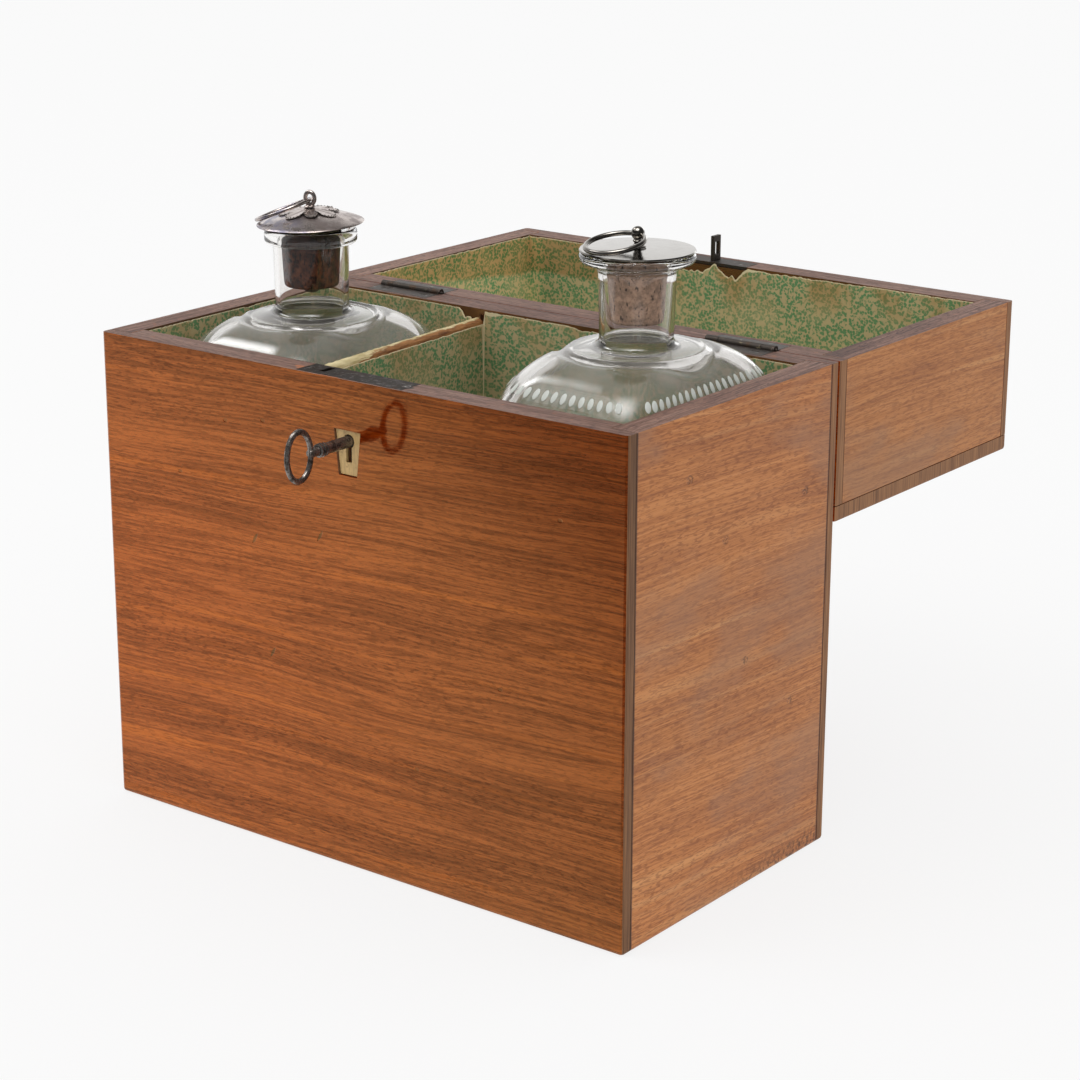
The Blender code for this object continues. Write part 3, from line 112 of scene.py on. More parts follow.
class CaseColours(bpy.types.PropertyGroup):
    """Colours of the case's woods, papers, metals, corks and glass."""
    front_dark: colour("Front, dark", "Dark fibres of the varnished wood", (0.128, 0.0115, 0.0005))
    front_mid: colour("Front, middle", "Main tone of the varnished wood", (0.208, 0.0215, 0.0009))
    front_light: colour("Front, light", "Light fibres of the varnished wood", (0.290, 0.0370, 0.0015))
    front_pale: colour("Front, pale", "Pale streaks of the varnished wood", (0.42, 0.0780, 0.0040))
    front_lustre: colour("Front lustre", "Amber lustre under the varnish", (1.0, 0.48, 0.16))
    side_dark: colour("Side, dark", "Dark fibres of the side boards", (0.345, 0.124, 0.040))
    side_mid: colour("Side, middle", "Main tone of the side boards", (0.445, 0.166, 0.048))
    side_light: colour("Side, light", "Light fibres of the side boards", (0.53, 0.215, 0.070))
    side_pale: colour("Side, pale", "Pale streaks of the side boards", (0.62, 0.300, 0.115))
    side_grey: colour("Side, grey", "Rubbed grey patches of the side boards", (0.31, 0.165, 0.098))
    rim_dark: colour("Rim, dark", "Pores of the bare rims", (0.098, 0.043, 0.029))
    rim_mid: colour("Rim, middle", "Main tone of the bare rims", (0.220, 0.106, 0.072))
    rim_light: colour("Rim, light", "Dusty tone of the bare rims", (0.31, 0.178, 0.130))
    end_dark: colour("End grain, dark", "Dark lines of the end grain", (0.130, 0.056, 0.027))
    end_light: colour("End grain, light", "Pale part of the end grain", (0.40, 0.195, 0.085))
    raw_wood: colour("Raw wood", "Wood that chips lay bare", (0.42, 0.140, 0.052))
    # Partly the dark unpolished wood, partly painted shadow between the rim and the paper.
    inside: colour("Inside wood", "Dark unpolished wood above the paper", (0.085, 0.040, 0.018))
    paper_ground: colour("Paper", "Ground of the lining paper", (0.57, 0.460, 0.245))
    paper_leaf: colour("Sprig", "Printed leaves on the lining paper", (0.085, 0.255, 0.105))
    paper_stain: colour("Stain", "Brown that the stains add to the paper", (0.76, 0.61, 0.47))
    paper_torn: colour("Torn edge", "Cream fibres along the torn edges", (0.74, 0.63, 0.40))
    iron: colour("Iron", "Dark iron of hinges and lock", (0.060, 0.050, 0.043))
    iron_worn: colour("Worn iron", "Rubbed parts of the iron", (0.19, 0.170, 0.155))
    lock_worn: colour("Lock plate", "Rubbed parts of the lock plate", (0.105, 0.082, 0.080))
    key_worn: colour("Worn key", "Rubbed parts of the key", (0.29, 0.262, 0.240))
    brass: colour("Brass", "Worn brass of pins and knuckles", (0.24, 0.200, 0.125))
    bone: colour("Bone", "Escutcheon", (0.58, 0.39, 0.165))
    silver_clean: colour("Tarnished silver, clean", "Rubbed parts of the left cap", (0.45, 0.390, 0.362))
    silver_dark: colour("Tarnished silver, dark", "Tarnish of the left cap", (0.260, 0.212, 0.197))
    # Painted reflection: this blue is laid on the silver's faces turned to the front and left.
    silver_painted_blue_reflection: colour("Tarnished silver, blue", "Bluish tarnish of the front edge", (0.225, 0.220, 0.290))
    silver_bright: colour("Bright silver", "Right cap, finial and ring", (0.238, 0.223, 0.202))
    cork_dark: colour("Dark cork", "Left cork", (0.082, 0.025, 0.010))
    cork_pale: colour("Pale cork", "Right cork", (0.36, 0.225, 0.150))
    glass: colour("Glass", "Tint of the bottles", (0.972, 0.962, 0.950))
    glass_grey: colour("Glass of the shoulders", "Greyer glass of the shoulders", (0.80, 0.785, 0.765))
    bloom: colour("Bloom", "Grey bloom inside the shoulders", (0.90, 0.85, 0.77))
    frost: colour("Frost", "Cut ovals on the right bottle", (0.66, 0.68, 0.64))


class CaseSizes(bpy.types.PropertyGroup):
    """Sizes of the pieces that the scene makes in place of plain solids."""
    paper_gap: length("Paper below rim", "How far the bays' linings end below the rim", 0.0007)
    lid_paper_gap: length("Lid paper below rim", "How far the lid's lining ends below the rim", 0.0003)
    paper_fray: length("Paper fray", "How far the lining's top edge wanders", 0.0007)
    paper_step: length("Paper step", "Spacing of points along the torn edge", 0.0008)
    partition_slant: turn("Partition slant", "How far the loose partition stands askew", 3.0)
    partition_wear: length("Partition wear", "How deep the partition's top is worn", 0.0005)
    bottle_corner: length("Bottle corner", "Radius of the bottles' upright corners", 0.015)
    bottle_foot: length("Bottle foot", "Rounding of the bottles' feet", 0.003)
    glass_wall: length("Glass wall", "Thickness of the bottles' walls", 0.0028)
    glass_base: length("Glass base", "Thickness of the bottles' floors", 0.0060)
    neck_wall: length("Neck wall", "Thickness of the necks", 0.0016)
    neck_spread: length("Neck spread", "How much wider the necks are at the top", 0.0006)
    neck_fillet: length("Neck fillet", "Rise of the curve from shoulder to neck", 0.0034)
    cork_swell: length("Cork swell", "How far the corks bulge beyond their plain solids", 0.0004)
    cork_taper: length("Cork taper", "How much narrower a cork's foot is", 0.0012)
    cap_radius: length("Cap radius", "Radius of both caps", 0.0202)
    left_cap_dome: length("Left dome", "Rise of the left cap", 0.0046)
    left_cap_edge: length("Left edge", "Edge of the left cap", 0.0004)
    right_cap_edge: length("Right edge", "Edge of the right cap", 0.0010)
    stopper_tilt: turn("Stopper tilt", "How far the left stopper sits askew", 2.3)
    rosette_radius: length("Rosette radius", "Reach of the leaves on the left cap", 0.0124)
    rosette_leaves: IntProperty(name="Leaves", description="Leaves of the rosette", default=8, min=3)
    left_ring_radius: length("Left ring", "Radius of the left ring", 0.0112)
    left_ring_wire: length("Left wire", "Wire radius of the left ring", 0.0007)
    left_ring_lean: turn("Left lean", "How far the left ring leans from level", 19.33)
    left_ring_heading: turn("Left heading", "Which way the left ring lies", 200)
    right_ring_radius: length("Right ring", "Radius of the right ring", 0.01025)
    right_ring_wire: length("Right wire", "Wire radius of the right ring", 0.0009)
    right_ring_lean: turn("Right lean", "How far the right ring leans from level", 10.96)
    right_ring_heading: turn("Right heading", "Which way the right ring lies", 255)
    oval_pitch: length("Oval pitch", "Spacing of the cut ovals", 0.0040)
    oval_width: length("Oval width", "Width of a cut oval", 0.0022)
    oval_height: length("Oval height", "Height of a cut oval", 0.0044)
    key_barrel: length("Key barrel", "Radius of the key's barrel", 0.0021)
    key_neck: length("Key neck", "Radius of the key's shank at the bow", 0.0017)
    key_reach: length("Key reach", "How far the key stands out of the front", 0.0320)
    bow_height: length("Bow height", "Height of the key's bow", 0.0196)
    bow_length: length("Bow length", "Length of the key's bow", 0.0142)
    bow_wire: length("Bow wire", "Wire radius of the key's bow", 0.0011)


class CaseStudio(bpy.types.PropertyGroup):
    """Camera and light."""
    lens: FloatProperty(name="Lens", description="Focal length in millimetres", default=92.086)
    camera_place: FloatVectorProperty(name="Camera", description="Place of the camera", subtype='TRANSLATION',
                                      unit='LENGTH', default=(0.616107, -0.757713, 0.414352))
    yaw: FloatProperty(name="Yaw", description="Heading of the camera", subtype='ANGLE', default=0.653935)
    pitch: FloatProperty(name="Pitch", description="How far the camera looks down", subtype='ANGLE',
                         default=0.302659)
    roll: FloatProperty(name="Roll", description="Roll of the camera", subtype='ANGLE', default=0.002857)
    backdrop: amount("Backdrop", "Brightness of the white surroundings", 1.0)
    room: amount("Room", "Brightness of the room behind the camera, as gloss shows it", 0.07)
    ceiling: amount("Ceiling", "Brightness straight above, as gloss shows it", 0.50)
    ambient: amount("Ambient", "Light from all round", 0.90)
    key_light: amount("Key light", "Power of the large soft lamp, in watts", 7.0)
    left_panel: amount("Left panel", "Brightness of the panel that gleams on the left of the shoulders", 13.0)
    back_panel: amount("Back panel", "Brightness that the wall behind adds to reflections", 0.5)
    top_panel: amount("Top panel", "Brightness of the panel that gleams on the bottles' front corners", 10.0)
    right_panel: amount("Right panel", "Brightness of the lamp that gleams on the right of the shoulders", 3.4)
    floor: amount("Floor", "Whiteness of the floor", 0.90)
    floor_white: amount("Floor white", "White that the camera sees on the floor", 0.982)
    floor_shade: amount("Floor shade", "Share of the shadows that the camera sees on the floor", 0.18)


# Node materials

class Finish:
    """Nodes of a material, world or lamp: each call adds a node and returns the socket that it gives."""

    def __init__(self, name, owner=None, end="OutputMaterial"):
        self.owner = owner or bpy.data.materials.new(name)
        self.owner.use_nodes = True
        self.tree = self.owner.node_tree
        self.tree.nodes.clear()
        self.end = self.tree.nodes.new("ShaderNode"+end)

    def put(self, socket, value):
        """Link a socket into another one, or set it to a plain value."""
        if isinstance(value, bpy.types.NodeSocket):
            self.tree.links.new(value, socket)
        elif socket.type == 'RGBA':
            socket.default_value = (*value, 1) if hasattr(value, "__len__") else (value, value, value, 1)
        else:
            socket.default_value = value

    def add(self, kind, inputs=None, out=0, **settings):
        """A new node with its inputs filled in; gives one of its outputs."""
        node = self.tree.nodes.new("ShaderNode"+kind)
        for key, value in settings.items():
            setattr(node, key, value)
        for key, value in (inputs or {}).items():
            self.put(node.inputs[key], value)
        return node.outputs[out]

    def place(self, scale=(1, 1, 1), rotate=(0, 0, 0), shift=(0, 0, 0), uv=None, base=None):
        """Coordinates in metres as at rest, or of a named UV map, stretched."""
        if base is None:
            base = self.add("UVMap", uv_map=uv) if uv else self.add("TexCoord", out="Object")
        return self.add("Mapping", {"Vector": base, "Scale": scale, "Rotation": rotate, "Location": shift})

    def fibres(self, along, lean, sway, seed):
        """Coordinates at rest that lean and sway a little, so that fibres are not ruled lines."""
        leaning = self.place(rotate=(0, lean, 0) if along == 0 else (lean, 0, 0))
        scale = tuple(7.0 if axis == along else 26.0 for axis in range(3))
        wander = self.add("TexNoise", {"Vector": self.place(scale, shift=(seed, seed, seed)), "Scale": 1.0,
                                       "Detail": 1.0}, out="Color")
        centred = self.add("VectorMath", {0: wander, 1: (0.5, 0.5, 0.5)}, operation='SUBTRACT')
        offset = self.add("VectorMath", {0: centred, "Scale": sway}, operation='SCALE')
        return self.add("VectorMath", {0: leaning, 1: offset}, operation='ADD')

    def noise(self, where, scale=1.0, detail=2.0, rough=0.5, bend=0.0):
        return self.add("TexNoise", {"Vector": where, "Scale": scale, "Detail": detail, "Roughness": rough,
                                     "Distortion": bend})

    def level(self, value, low, high, to_low=0.0, to_high=1.0, smooth=True):
        """A value carried from one range into another, and held at its ends."""
        inputs = {"Value": value, "From Min": low, "From Max": high, "To Min": to_low, "To Max": to_high}
        return self.add("MapRange", inputs, interpolation_type='SMOOTHSTEP' if smooth else 'LINEAR')

    def calc(self, operation, a, b=0.0):
        return self.add("Math", {0: a, 1: b}, operation=operation)

    def mix(self, share, a, b, blend='MIX'):
        return self.add("Mix", {0: share, 6: a, 7: b}, out=2, data_type='RGBA', blend_type=blend)

    def ramp(self, value, *stops):
        """Colours laid out along a value, as (value, colour) stops."""
        node = self.tree.nodes.new("ShaderNodeValToRGB")
        self.put(node.inputs[0], value)
        points = node.color_ramp.elements
        while len(points) < len(stops):
            points.new(0.5)
        for point, (where, tone) in zip(points, stops):
            point.position = where
            point.color = (*tone, 1)
        return node.outputs[0]

    def axes(self, vector):
        node = self.tree.nodes.new("ShaderNodeSeparateXYZ")
        self.put(node.inputs[0], vector)
        return node.outputs

    def here(self):
        """The place on the piece as at rest, as x, y and z."""
        return self.axes(self.add("TexCoord", out="Object"))

    def facing(self):
        """The direction that the surface faces, as x, y and z."""
        return self.axes(self.add("TexCoord", out="Normal"))

    def rays(self, *kinds):
        """1 for rays of the named kinds, 0 for others."""
        path = self.tree.nodes.new("ShaderNodeLightPath").outputs
        found = path["Is "+kinds[0]+" Ray"]
        for kind in kinds[1:]:
            found = self.calc('MAXIMUM', found, path["Is "+kind+" Ray"])
        return found

    def bump(self, height, distance, strength=1.0, under=None):
        inputs = {"Height": height, "Distance": distance, "Strength": strength}
        if under is not None:
            inputs["Normal"] = under
        return self.add("Bump", inputs)

    def spots(self, places, wide, tall, across, up):
        """1 inside small ovals at the given places on a face, 0 elsewhere."""
        total = 0.0
        for u, v in places:
            du = self.calc('DIVIDE', self.calc('SUBTRACT', across, u), wide)
            dv = self.calc('DIVIDE', self.calc('SUBTRACT', up, v), tall)
            far = self.calc('ADD', self.calc('MULTIPLY', du, du), self.calc('MULTIPLY', dv, dv))
            total = self.calc('MAXIMUM', total, self.level(far, 1.0, 0.3))
        return total

    def shader(self, **sockets):
        """A Principled shader with the named sockets filled in."""
        shader = self.tree.nodes.new("ShaderNodeBsdfPrincipled")
        for key, value in sockets.items():
            key = key.replace("_", " ").title()
            key = {"Ior": "IOR", "Specular": "Specular IOR Level"}.get(key, key)
            self.put(shader.inputs[key], value)
        return shader.outputs[0]

    def close(self, shader):
        """End the nodes with a shader; gives what they belong to."""
        self.put(self.end.inputs["Surface"], shader)
        return self.owner

    def surface(self, **sockets):
        return self.close(self.shader(**sockets))


def grain(f, along, tones, seed, lean=0.03, sway=0.010, porous=1.0):
    """Colour, height and polish of planed wood: bands, pale streaks and short dark pores along one axis."""
    dark, middle, light, pale = tones
    lines = f.fibres(along, lean, sway, seed)

    def layer(run, across, detail, rough=0.5):
        scale = tuple(run if axis == along else across for axis in range(3))
        shift = (seed*0.37+run, seed*0.61, seed*0.83)
        return f.noise(f.place(scale, shift=shift, base=lines), detail=detail, rough=rough)
    bands = layer(2.2, 58.0, 2.0)
    streaks = layer(1.5, 260.0, 2.0)
    rays = layer(3.0, 620.0, 2.0)
    fibre = layer(12.0, 1250.0, 3.0, 0.65)
    cloud = layer(16.0, 22.0, 2.0)
    pore = layer(300.0, 1750.0, 1.0)
    hair = layer(150.0, 1900.0, 1.0)
    tone = f.calc('ADD', f.calc('MULTIPLY', bands, 0.20), f.calc('MULTIPLY', fibre, 0.48))
    tone = f.calc('ADD', tone, f.calc('MULTIPLY', rays, 0.20))
    tone = f.calc('ADD', tone, f.calc('MULTIPLY', cloud, 0.12))
    tinted = f.ramp(tone, (0.42, dark), (0.50, middle), (0.58, light))
    tinted = f.mix(f.level(streaks, 0.53, 0.80, 0.0, 0.80), tinted, pale)
    pores = f.calc('MULTIPLY', f.level(pore, 0.54, 0.64), f.level(bands, 0.35, 0.62, 0.85, 0.55))
    pores = f.calc('MAXIMUM', f.calc('MULTIPLY', pores, porous), f.level(hair, 0.54, 0.68, 0.0, 0.45))
    shade = (0.46*dark[0], 0.34*dark[1], 0.34*dark[2])
    polish = f.calc('MULTIPLY', f.level(tone, 0.42, 0.58, 0.58, 1.0), f.level(pores, 0.0, 1.0, 1.0, 0.25))
    return f.mix(pores, tinted, shade), f.calc('SUBTRACT', fibre, pores), polish


def rim_share(f):
    """1 on the upward edges of case and lid, 0 elsewhere."""
    up = f.level(f.facing()[2], 0.55, 0.9)
    return f.calc('MULTIPLY', up, f.level(f.here()[2], RIM-2.5*MM, RIM-1.5*MM))


def inside_dark_and_painted_shade(f, here):
    """1 on the faces within case and lid, 0 elsewhere; above the paper they show as a dark line, partly
    unpolished wood and partly painted shadow.
    """
    def within(place, box, axis):
        low, high = box[0][axis]-0.4*MM, box[1][axis]+0.4*MM
        far = f.calc('ABSOLUTE', f.calc('SUBTRACT', place, (low+high)/2))
        return f.level(far, (high-low)/2+0.1*MM, (high-low)/2-0.1*MM)
    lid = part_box("lid_lining")
    bays = (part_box("left_bay_lining")[0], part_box("right_bay_lining")[1])
    deep = f.calc('MAXIMUM', within(here[1], bays, 1), within(here[1], lid, 1))
    upper = f.level(here[2], RIM-16*MM, RIM-14*MM)
    return f.calc('MULTIPLY', upper, f.calc('MULTIPLY', deep, within(here[0], lid, 0)))


def wood_finish(name, tones, c, along, seed, coat, lustre, marks, lean=0.03):
    """Boards: planed faces, bare rims, end grain where the boards' ends show, and marks of use, with painted
    light and shade on the front, a painted shadow in a gap on the rim, and dark inner faces that are partly
    painted shadow.
    """
    f = Finish(name)
    here = f.here()
    gloss = lustre > 0.5
    face, height, polish = grain(f, along, tones, seed, lean, porous=0.64 if gloss else 0.60)
    dust = 0.86 if gloss else 0.96
    rim_tones = [tuple(dust*v for v in tone) for tone in (c.rim_dark, c.rim_mid, c.rim_light, c.rim_light)]
    rim, rim_height, _ = grain(f, along, rim_tones, seed+3)
    stretch = (40.0, 1500.0, 34.0) if along == 0 else (1500.0, 40.0, 34.0)
    lines = f.noise(f.place(stretch), detail=3.0, rough=0.65)
    ends = f.ramp(lines, (0.28, c.end_dark), (0.70, c.end_light))
    end_share = f.level(f.calc('ABSOLUTE', f.facing()[along]), 0.7, 0.9)
    base = f.mix(end_share, face, ends)
    # On the front, the marks also lay painted light and shade on the colour.
    base, dents = marks(f, base, here)
    raw = f.level(f.noise(f.place((260, 260, 260)), detail=3.0, rough=0.7), 0.62, 0.70)
    bare = rim_share(f)
    chips = f.spots(RIM_CHIPS, 0.0026, 0.0013, here[0], here[1])
    chips = f.calc('MULTIPLY', chips, f.level(lines, 0.36, 0.50))
    # Painted shadow: a dark spot in a gap on the rim.
    gap = f.spots(RIM_GAP_SHADOWS, 0.0022, 0.0018, here[0], here[1])
    rim = f.mix(f.calc('MAXIMUM', f.calc('MULTIPLY', raw, 0.35), chips), rim, c.raw_wood)
    base = f.mix(bare, base, f.mix(f.calc('MULTIPLY', gap, 0.9), rim, (0.012, 0.008, 0.006)))
    # Painted shadow: the inner faces above the paper turn dark, partly as unpolished wood.
    base = f.mix(inside_dark_and_painted_shade(f, here), base, c.inside)
    unpolished = f.calc('MAXIMUM', bare, end_share)
    normal = f.bump(f.mix(bare, height, rim_height), 0.00002 if gloss else 0.00006, 0.5)
    normal = f.bump(dents, 0.0002, 0.5, normal)
    cloud = f.noise(f.place((60, 60, 60)), detail=3.0)
    varnished = f.shader(base_color=base, roughness=0.06 if gloss else 0.42,
                         specular=0.35 if gloss else lustre,
                         specular_tint=c.front_lustre if gloss else (1, 1, 1),
                         coat_weight=f.level(cloud, 0.3, 0.75, coat, coat*0.85),
                         coat_roughness=0.04 if gloss else 0.22, normal=normal)
    if gloss:
        tint = f.mix(1.0, c.front_lustre, polish, 'MULTIPLY')
        amber = f.add("BsdfAnisotropic", {"Color": tint, "Roughness": 0.06, "Normal": normal})
        varnished = f.add("MixShader", {0: 0.26*lustre, 1: varnished, 2: amber})
    dry = f.shader(base_color=base, roughness=0.66, specular=0.35, normal=normal)
    return f.close(f.add("MixShader", {0: unpolished, 1: varnished, 2: dry}))


def front_marks_and_painted_light(f, base, here):
    """Slanting nicks of the front, and painted light and shade: lighter to the left, darker to the right end
    and the top, with a painted contact shadow along the foot.
    """
    slant = f.calc('SUBTRACT', here[0], f.calc('MULTIPLY', here[2], NICK_SLANT))
    nicks = f.spots([(x-NICK_SLANT*z, z) for x, z in FRONT_NICKS], 0.0008, 0.0024, slant, here[2])
    dots = f.spots(FRONT_DOTS, 0.0012, 0.0008, here[0], here[2])
    nicks = f.calc('MAXIMUM', nicks, f.calc('MULTIPLY', dots, 0.6))
    # Painted light and shade: a falloff across and up the front, and a painted contact shadow at the foot.
    right = f.level(here[0], -0.105, 0.118, 1.30, 0.76)
    high = f.level(here[2], 0.09, 0.183, 1.0, 0.76)
    low = f.level(here[2], 0.0, 0.035, 0.93, 1.0)
    tone = f.calc('MULTIPLY', f.calc('MULTIPLY', right, high), low)
    shaded = f.mix(1.0, base, tone, 'MULTIPLY')
    marked = f.mix(f.calc('MULTIPLY', nicks, 0.85), shaded, (0.006, 0.003, 0.002))
    return marked, f.calc('MULTIPLY', nicks, -1.0)


def side_marks(f, base, here):
    """Dents and grey patches of the sides, dark lines along their ends, and the scuff low down at the back."""
    dents = f.spots(SIDE_DENTS, 0.0024, 0.0019, here[1], here[2])
    broken = f.noise(f.place((1200, 900, 1200)), detail=3.0)
    dents = f.calc('MULTIPLY', dents, f.level(broken, 0.42, 0.56))
    rough = f.noise(f.place((500, 500, 500)), detail=3.0)
    scuff = f.calc('MULTIPLY', f.level(here[2], 0.012, 0.0), f.level(rough, 0.46, 0.60))
    scuff = f.calc('MULTIPLY', scuff, f.level(here[1], -0.02, 0.045))
    low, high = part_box("right_side_board")
    far = f.calc('ABSOLUTE', f.calc('SUBTRACT', here[1], (low.y+high.y)/2))
    seam = f.level(far, (high.y-low.y)/2-0.9*MM, (high.y-low.y)/2-0.3*MM)
    dark = f.calc('MAXIMUM', f.calc('MULTIPLY', dents, 0.55), f.calc('MULTIPLY', scuff, 0.8))
    dark = f.calc('MAXIMUM', dark, f.calc('MULTIPLY', seam, 0.85))
    marked = f.mix(dark, side_patches(f, base, here), (0.055, 0.026, 0.016))
    return marked, f.calc('MULTIPLY', dents, -1.0)


def side_patches(f, base, here):
    """Rubbed grey patches, and the lighter lower part of the side boards."""
    colours = bpy.context.scene.case_colours
    patch = f.noise(f.place((30, 14, 30)), detail=3.0, rough=0.6)
    rubbed = f.mix(f.level(patch, 0.48, 0.68, 0.0, 0.45), base, colours.side_grey)
    return f.mix(1.0, rubbed, f.level(here[2], 0.01, 0.08, 1.16, 1.04), 'MULTIPLY')


def lid_side_marks(f, base, here):
    """Grey patches of the lid's sides, which are a little darker than the case's and have no dents."""
    return f.mix(1.0, side_patches(f, base, here), (0.89, 0.90, 0.86), 'MULTIPLY'), 0.0


def plain_marks(f, base, here):
    """No marks: the colour as it is, and no dents."""
    return base, 0.0


def paper_finish(c, name, stain, left_wall_brightness=1.0):
    """Tan lining paper printed with sprigs of small green leaves, stained, with cream torn edges."""
    f = Finish(name)
    print_map = f.place((1000, 1000, 1000), uv="print")
    leaves = f.add("TexVoronoi", {"Vector": print_map, "Scale": 0.84}, out="Distance", voronoi_dimensions='2D')
    sprigs = f.add("TexNoise", {"Vector": print_map, "Scale": 0.42, "Detail": 1.0, "Distortion": 0.6},
                   noise_dimensions='2D')
    leaf = f.calc('MULTIPLY', f.level(leaves, 0.70, 0.36), f.level(sprigs, 0.37, 0.50))
    cloud = f.noise(print_map, 0.045, detail=4.0, rough=0.6)
    ground = f.mix(f.level(cloud, 0.35, 0.7), tuple(0.86*v for v in c.paper_ground), c.paper_ground)
    faded = f.mix(f.level(cloud, 0.42, 0.66, 0.0, 0.4), c.paper_leaf, c.paper_ground)
    printed = f.mix(f.calc('MULTIPLY', leaf, 0.92), ground, faded)
    # The paper of a wall on the left is brightened by this factor.
    printed = f.mix(1.0, printed, f.level(f.here()[0], -0.098, -0.107, 1.0, left_wall_brightness), 'MULTIPLY')
    tear = f.axes(f.add("UVMap", uv_map="tear"))
    peel = f.axes(f.add("UVMap", uv_map="peel"))
    damp = f.calc('MULTIPLY', f.level(tear[1], 0.020, 0.002), f.level(cloud, 0.42, 0.64, 0.0, stain))
    tide = f.calc('SUBTRACT', tear[1], f.calc('ADD', peel[1], f.calc('MULTIPLY', cloud, 0.006)))
    damp = f.calc('MAXIMUM', damp, f.calc('MULTIPLY', tear[0], f.level(tide, 0.0, -0.003)))
    stained = f.mix(damp, printed, c.paper_stain, 'MULTIPLY')
    fibre = f.noise(print_map, 1.3, detail=3.0)
    edge = f.calc('SUBTRACT', tear[1], f.calc('ADD', peel[0], f.calc('MULTIPLY', fibre, 0.0010)))
    base = f.mix(f.level(edge, -0.0001, -0.0005, 0.0, 0.9), stained, c.paper_torn)
    normal = f.bump(f.noise(print_map, 0.5, detail=4.0), 0.0002, 0.5)
    return f.surface(base_color=base, roughness=0.88, specular=0.2, normal=normal)


def partition_finish():
    """The partition's worn top: cream paper rubbed through to brown wood along the ridge."""
    f = Finish("worn_partition")
    here = f.here()
    rub = f.noise(f.place((700, 90, 700)), detail=4.0, rough=0.65)
    wood = f.ramp(rub, (0.36, (0.15, 0.055, 0.018)), (0.62, (0.42, 0.190, 0.062)))
    cream = f.ramp(f.noise(f.place((420, 160, 420)), detail=3.0), (0.35, (0.50, 0.390, 0.185)),
                   (0.65, (0.74, 0.63, 0.36)))
    low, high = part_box("partition")
    lean = math.tan(bpy.context.scene.case_sizes.partition_slant)
    beside = f.calc('ADD', here[0], f.calc('MULTIPLY', here[1], lean))
    across = f.level(beside, low.x, high.x, smooth=False)
    front = f.level(here[1], 0.0, -0.045, 0.0, 0.55)
    rubbed = f.calc('ADD', across, f.calc('MULTIPLY', f.calc('SUBTRACT', rub, 0.5), 1.3))
    worn = f.level(f.calc('SUBTRACT', rubbed, front), 0.48, 0.64)
    base = f.mix(worn, cream, wood)
    return f.surface(base_color=base, roughness=0.75, specular=0.25, normal=f.bump(rub, 0.0003, 0.6))


def iron_finish(c, name, worn, wear=(0.50, 0.68), rough=0.42, shade=1.0):
    """Old iron: dark, pitted, rubbed bright or brassy on its faces."""
    f = Finish(name)
    patches = f.noise(f.place((420, 420, 420)), detail=5.0, rough=0.65)
    scratches = f.noise(f.place((120, 2600, 900)), detail=2.0)
    rub = f.level(f.calc('ADD', patches, f.calc('MULTIPLY', scratches, 0.25)), wear[0]+0.12, wear[1]+0.12)
    rust = f.level(f.noise(f.place((260, 260, 260), shift=(3, 1, 2)), detail=4.0), 0.52, 0.66)
    base = f.mix(rub, f.mix(f.calc('MULTIPLY', rust, 0.6), c.iron, (0.085, 0.048, 0.028)), worn)
    if shade < 1:
        base = f.mix(1.0, base, (shade, 0.94*shade, 0.88*shade), 'MULTIPLY')
    pits = f.noise(f.place((1700, 1700, 1700)), detail=3.0)
    return f.surface(base_color=base, metallic=0.85, roughness=f.level(rub, 0, 1, rough+0.14, rough-0.08),
                     normal=f.bump(pits, 0.00012, 0.6))


def bone_finish(c):
    """Yellowed bone, veined, with patches of brown dirt."""
    f = Finish("bone")
    veins = f.noise(f.place((1900, 500, 260)), detail=3.0)
    dirt = f.level(f.noise(f.place((500, 500, 500)), detail=4.0, rough=0.7), 0.53, 0.68)
    clean = f.ramp(veins, (0.35, tuple(0.80*v for v in c.bone)), (0.6, c.bone))
    base = f.mix(f.calc('MULTIPLY', dirt, 0.6), clean, (0.25, 0.15, 0.06))
    return f.surface(base_color=base, roughness=0.42, specular=0.4, normal=f.bump(veins, 0.0001, 0.4))


def tarnish_finish(c, name, low, high, rough):
    """Silver under uneven purple-brown tarnish, with a painted bluish reflection on the faces turned to the
    front and left.
    """
    f = Finish(name)
    broad = f.noise(f.place((170, 170, 170)), detail=4.0, rough=0.6)
    fine = f.noise(f.place((1400, 1400, 1400)), detail=3.0)
    dark = f.level(f.calc('ADD', broad, f.calc('MULTIPLY', fine, 0.2)), low, high)
    facing = f.facing()
    # Painted reflection: faces turned to the front and left take a bluish hue.
    left = f.level(f.calc('ADD', f.calc('MULTIPLY', facing[0], 0.8), facing[1]), -0.10, -0.34)
    tarnish_and_painted_reflection = f.mix(f.calc('MULTIPLY', left, 0.8), c.silver_dark, c.silver_painted_blue_reflection)
    return f.surface(base_color=f.mix(dark, c.silver_clean, tarnish_and_painted_reflection), metallic=1.0,
                     roughness=f.level(dark, 0, 1, rough, rough+0.16), normal=f.bump(fine, 0.00005, 0.5))


def silver_finish(c, name):
    """Polished silver with fine scratches and a faint yellow film."""
    f = Finish(name)
    film = f.noise(f.place((140, 140, 140)), detail=4.0)
    scratch = f.noise(f.place((260, 4200, 1500), rotate=(0, 0, 0.6)), detail=2.0)
    base = f.mix(f.level(film, 0.45, 0.7, 0.0, 0.5), c.silver_bright, (0.186, 0.170, 0.150))
    return f.surface(base_color=base, metallic=1.0, roughness=f.level(scratch, 0.4, 0.7, 0.09, 0.20),
                     normal=f.bump(scratch, 0.00002, 0.5))


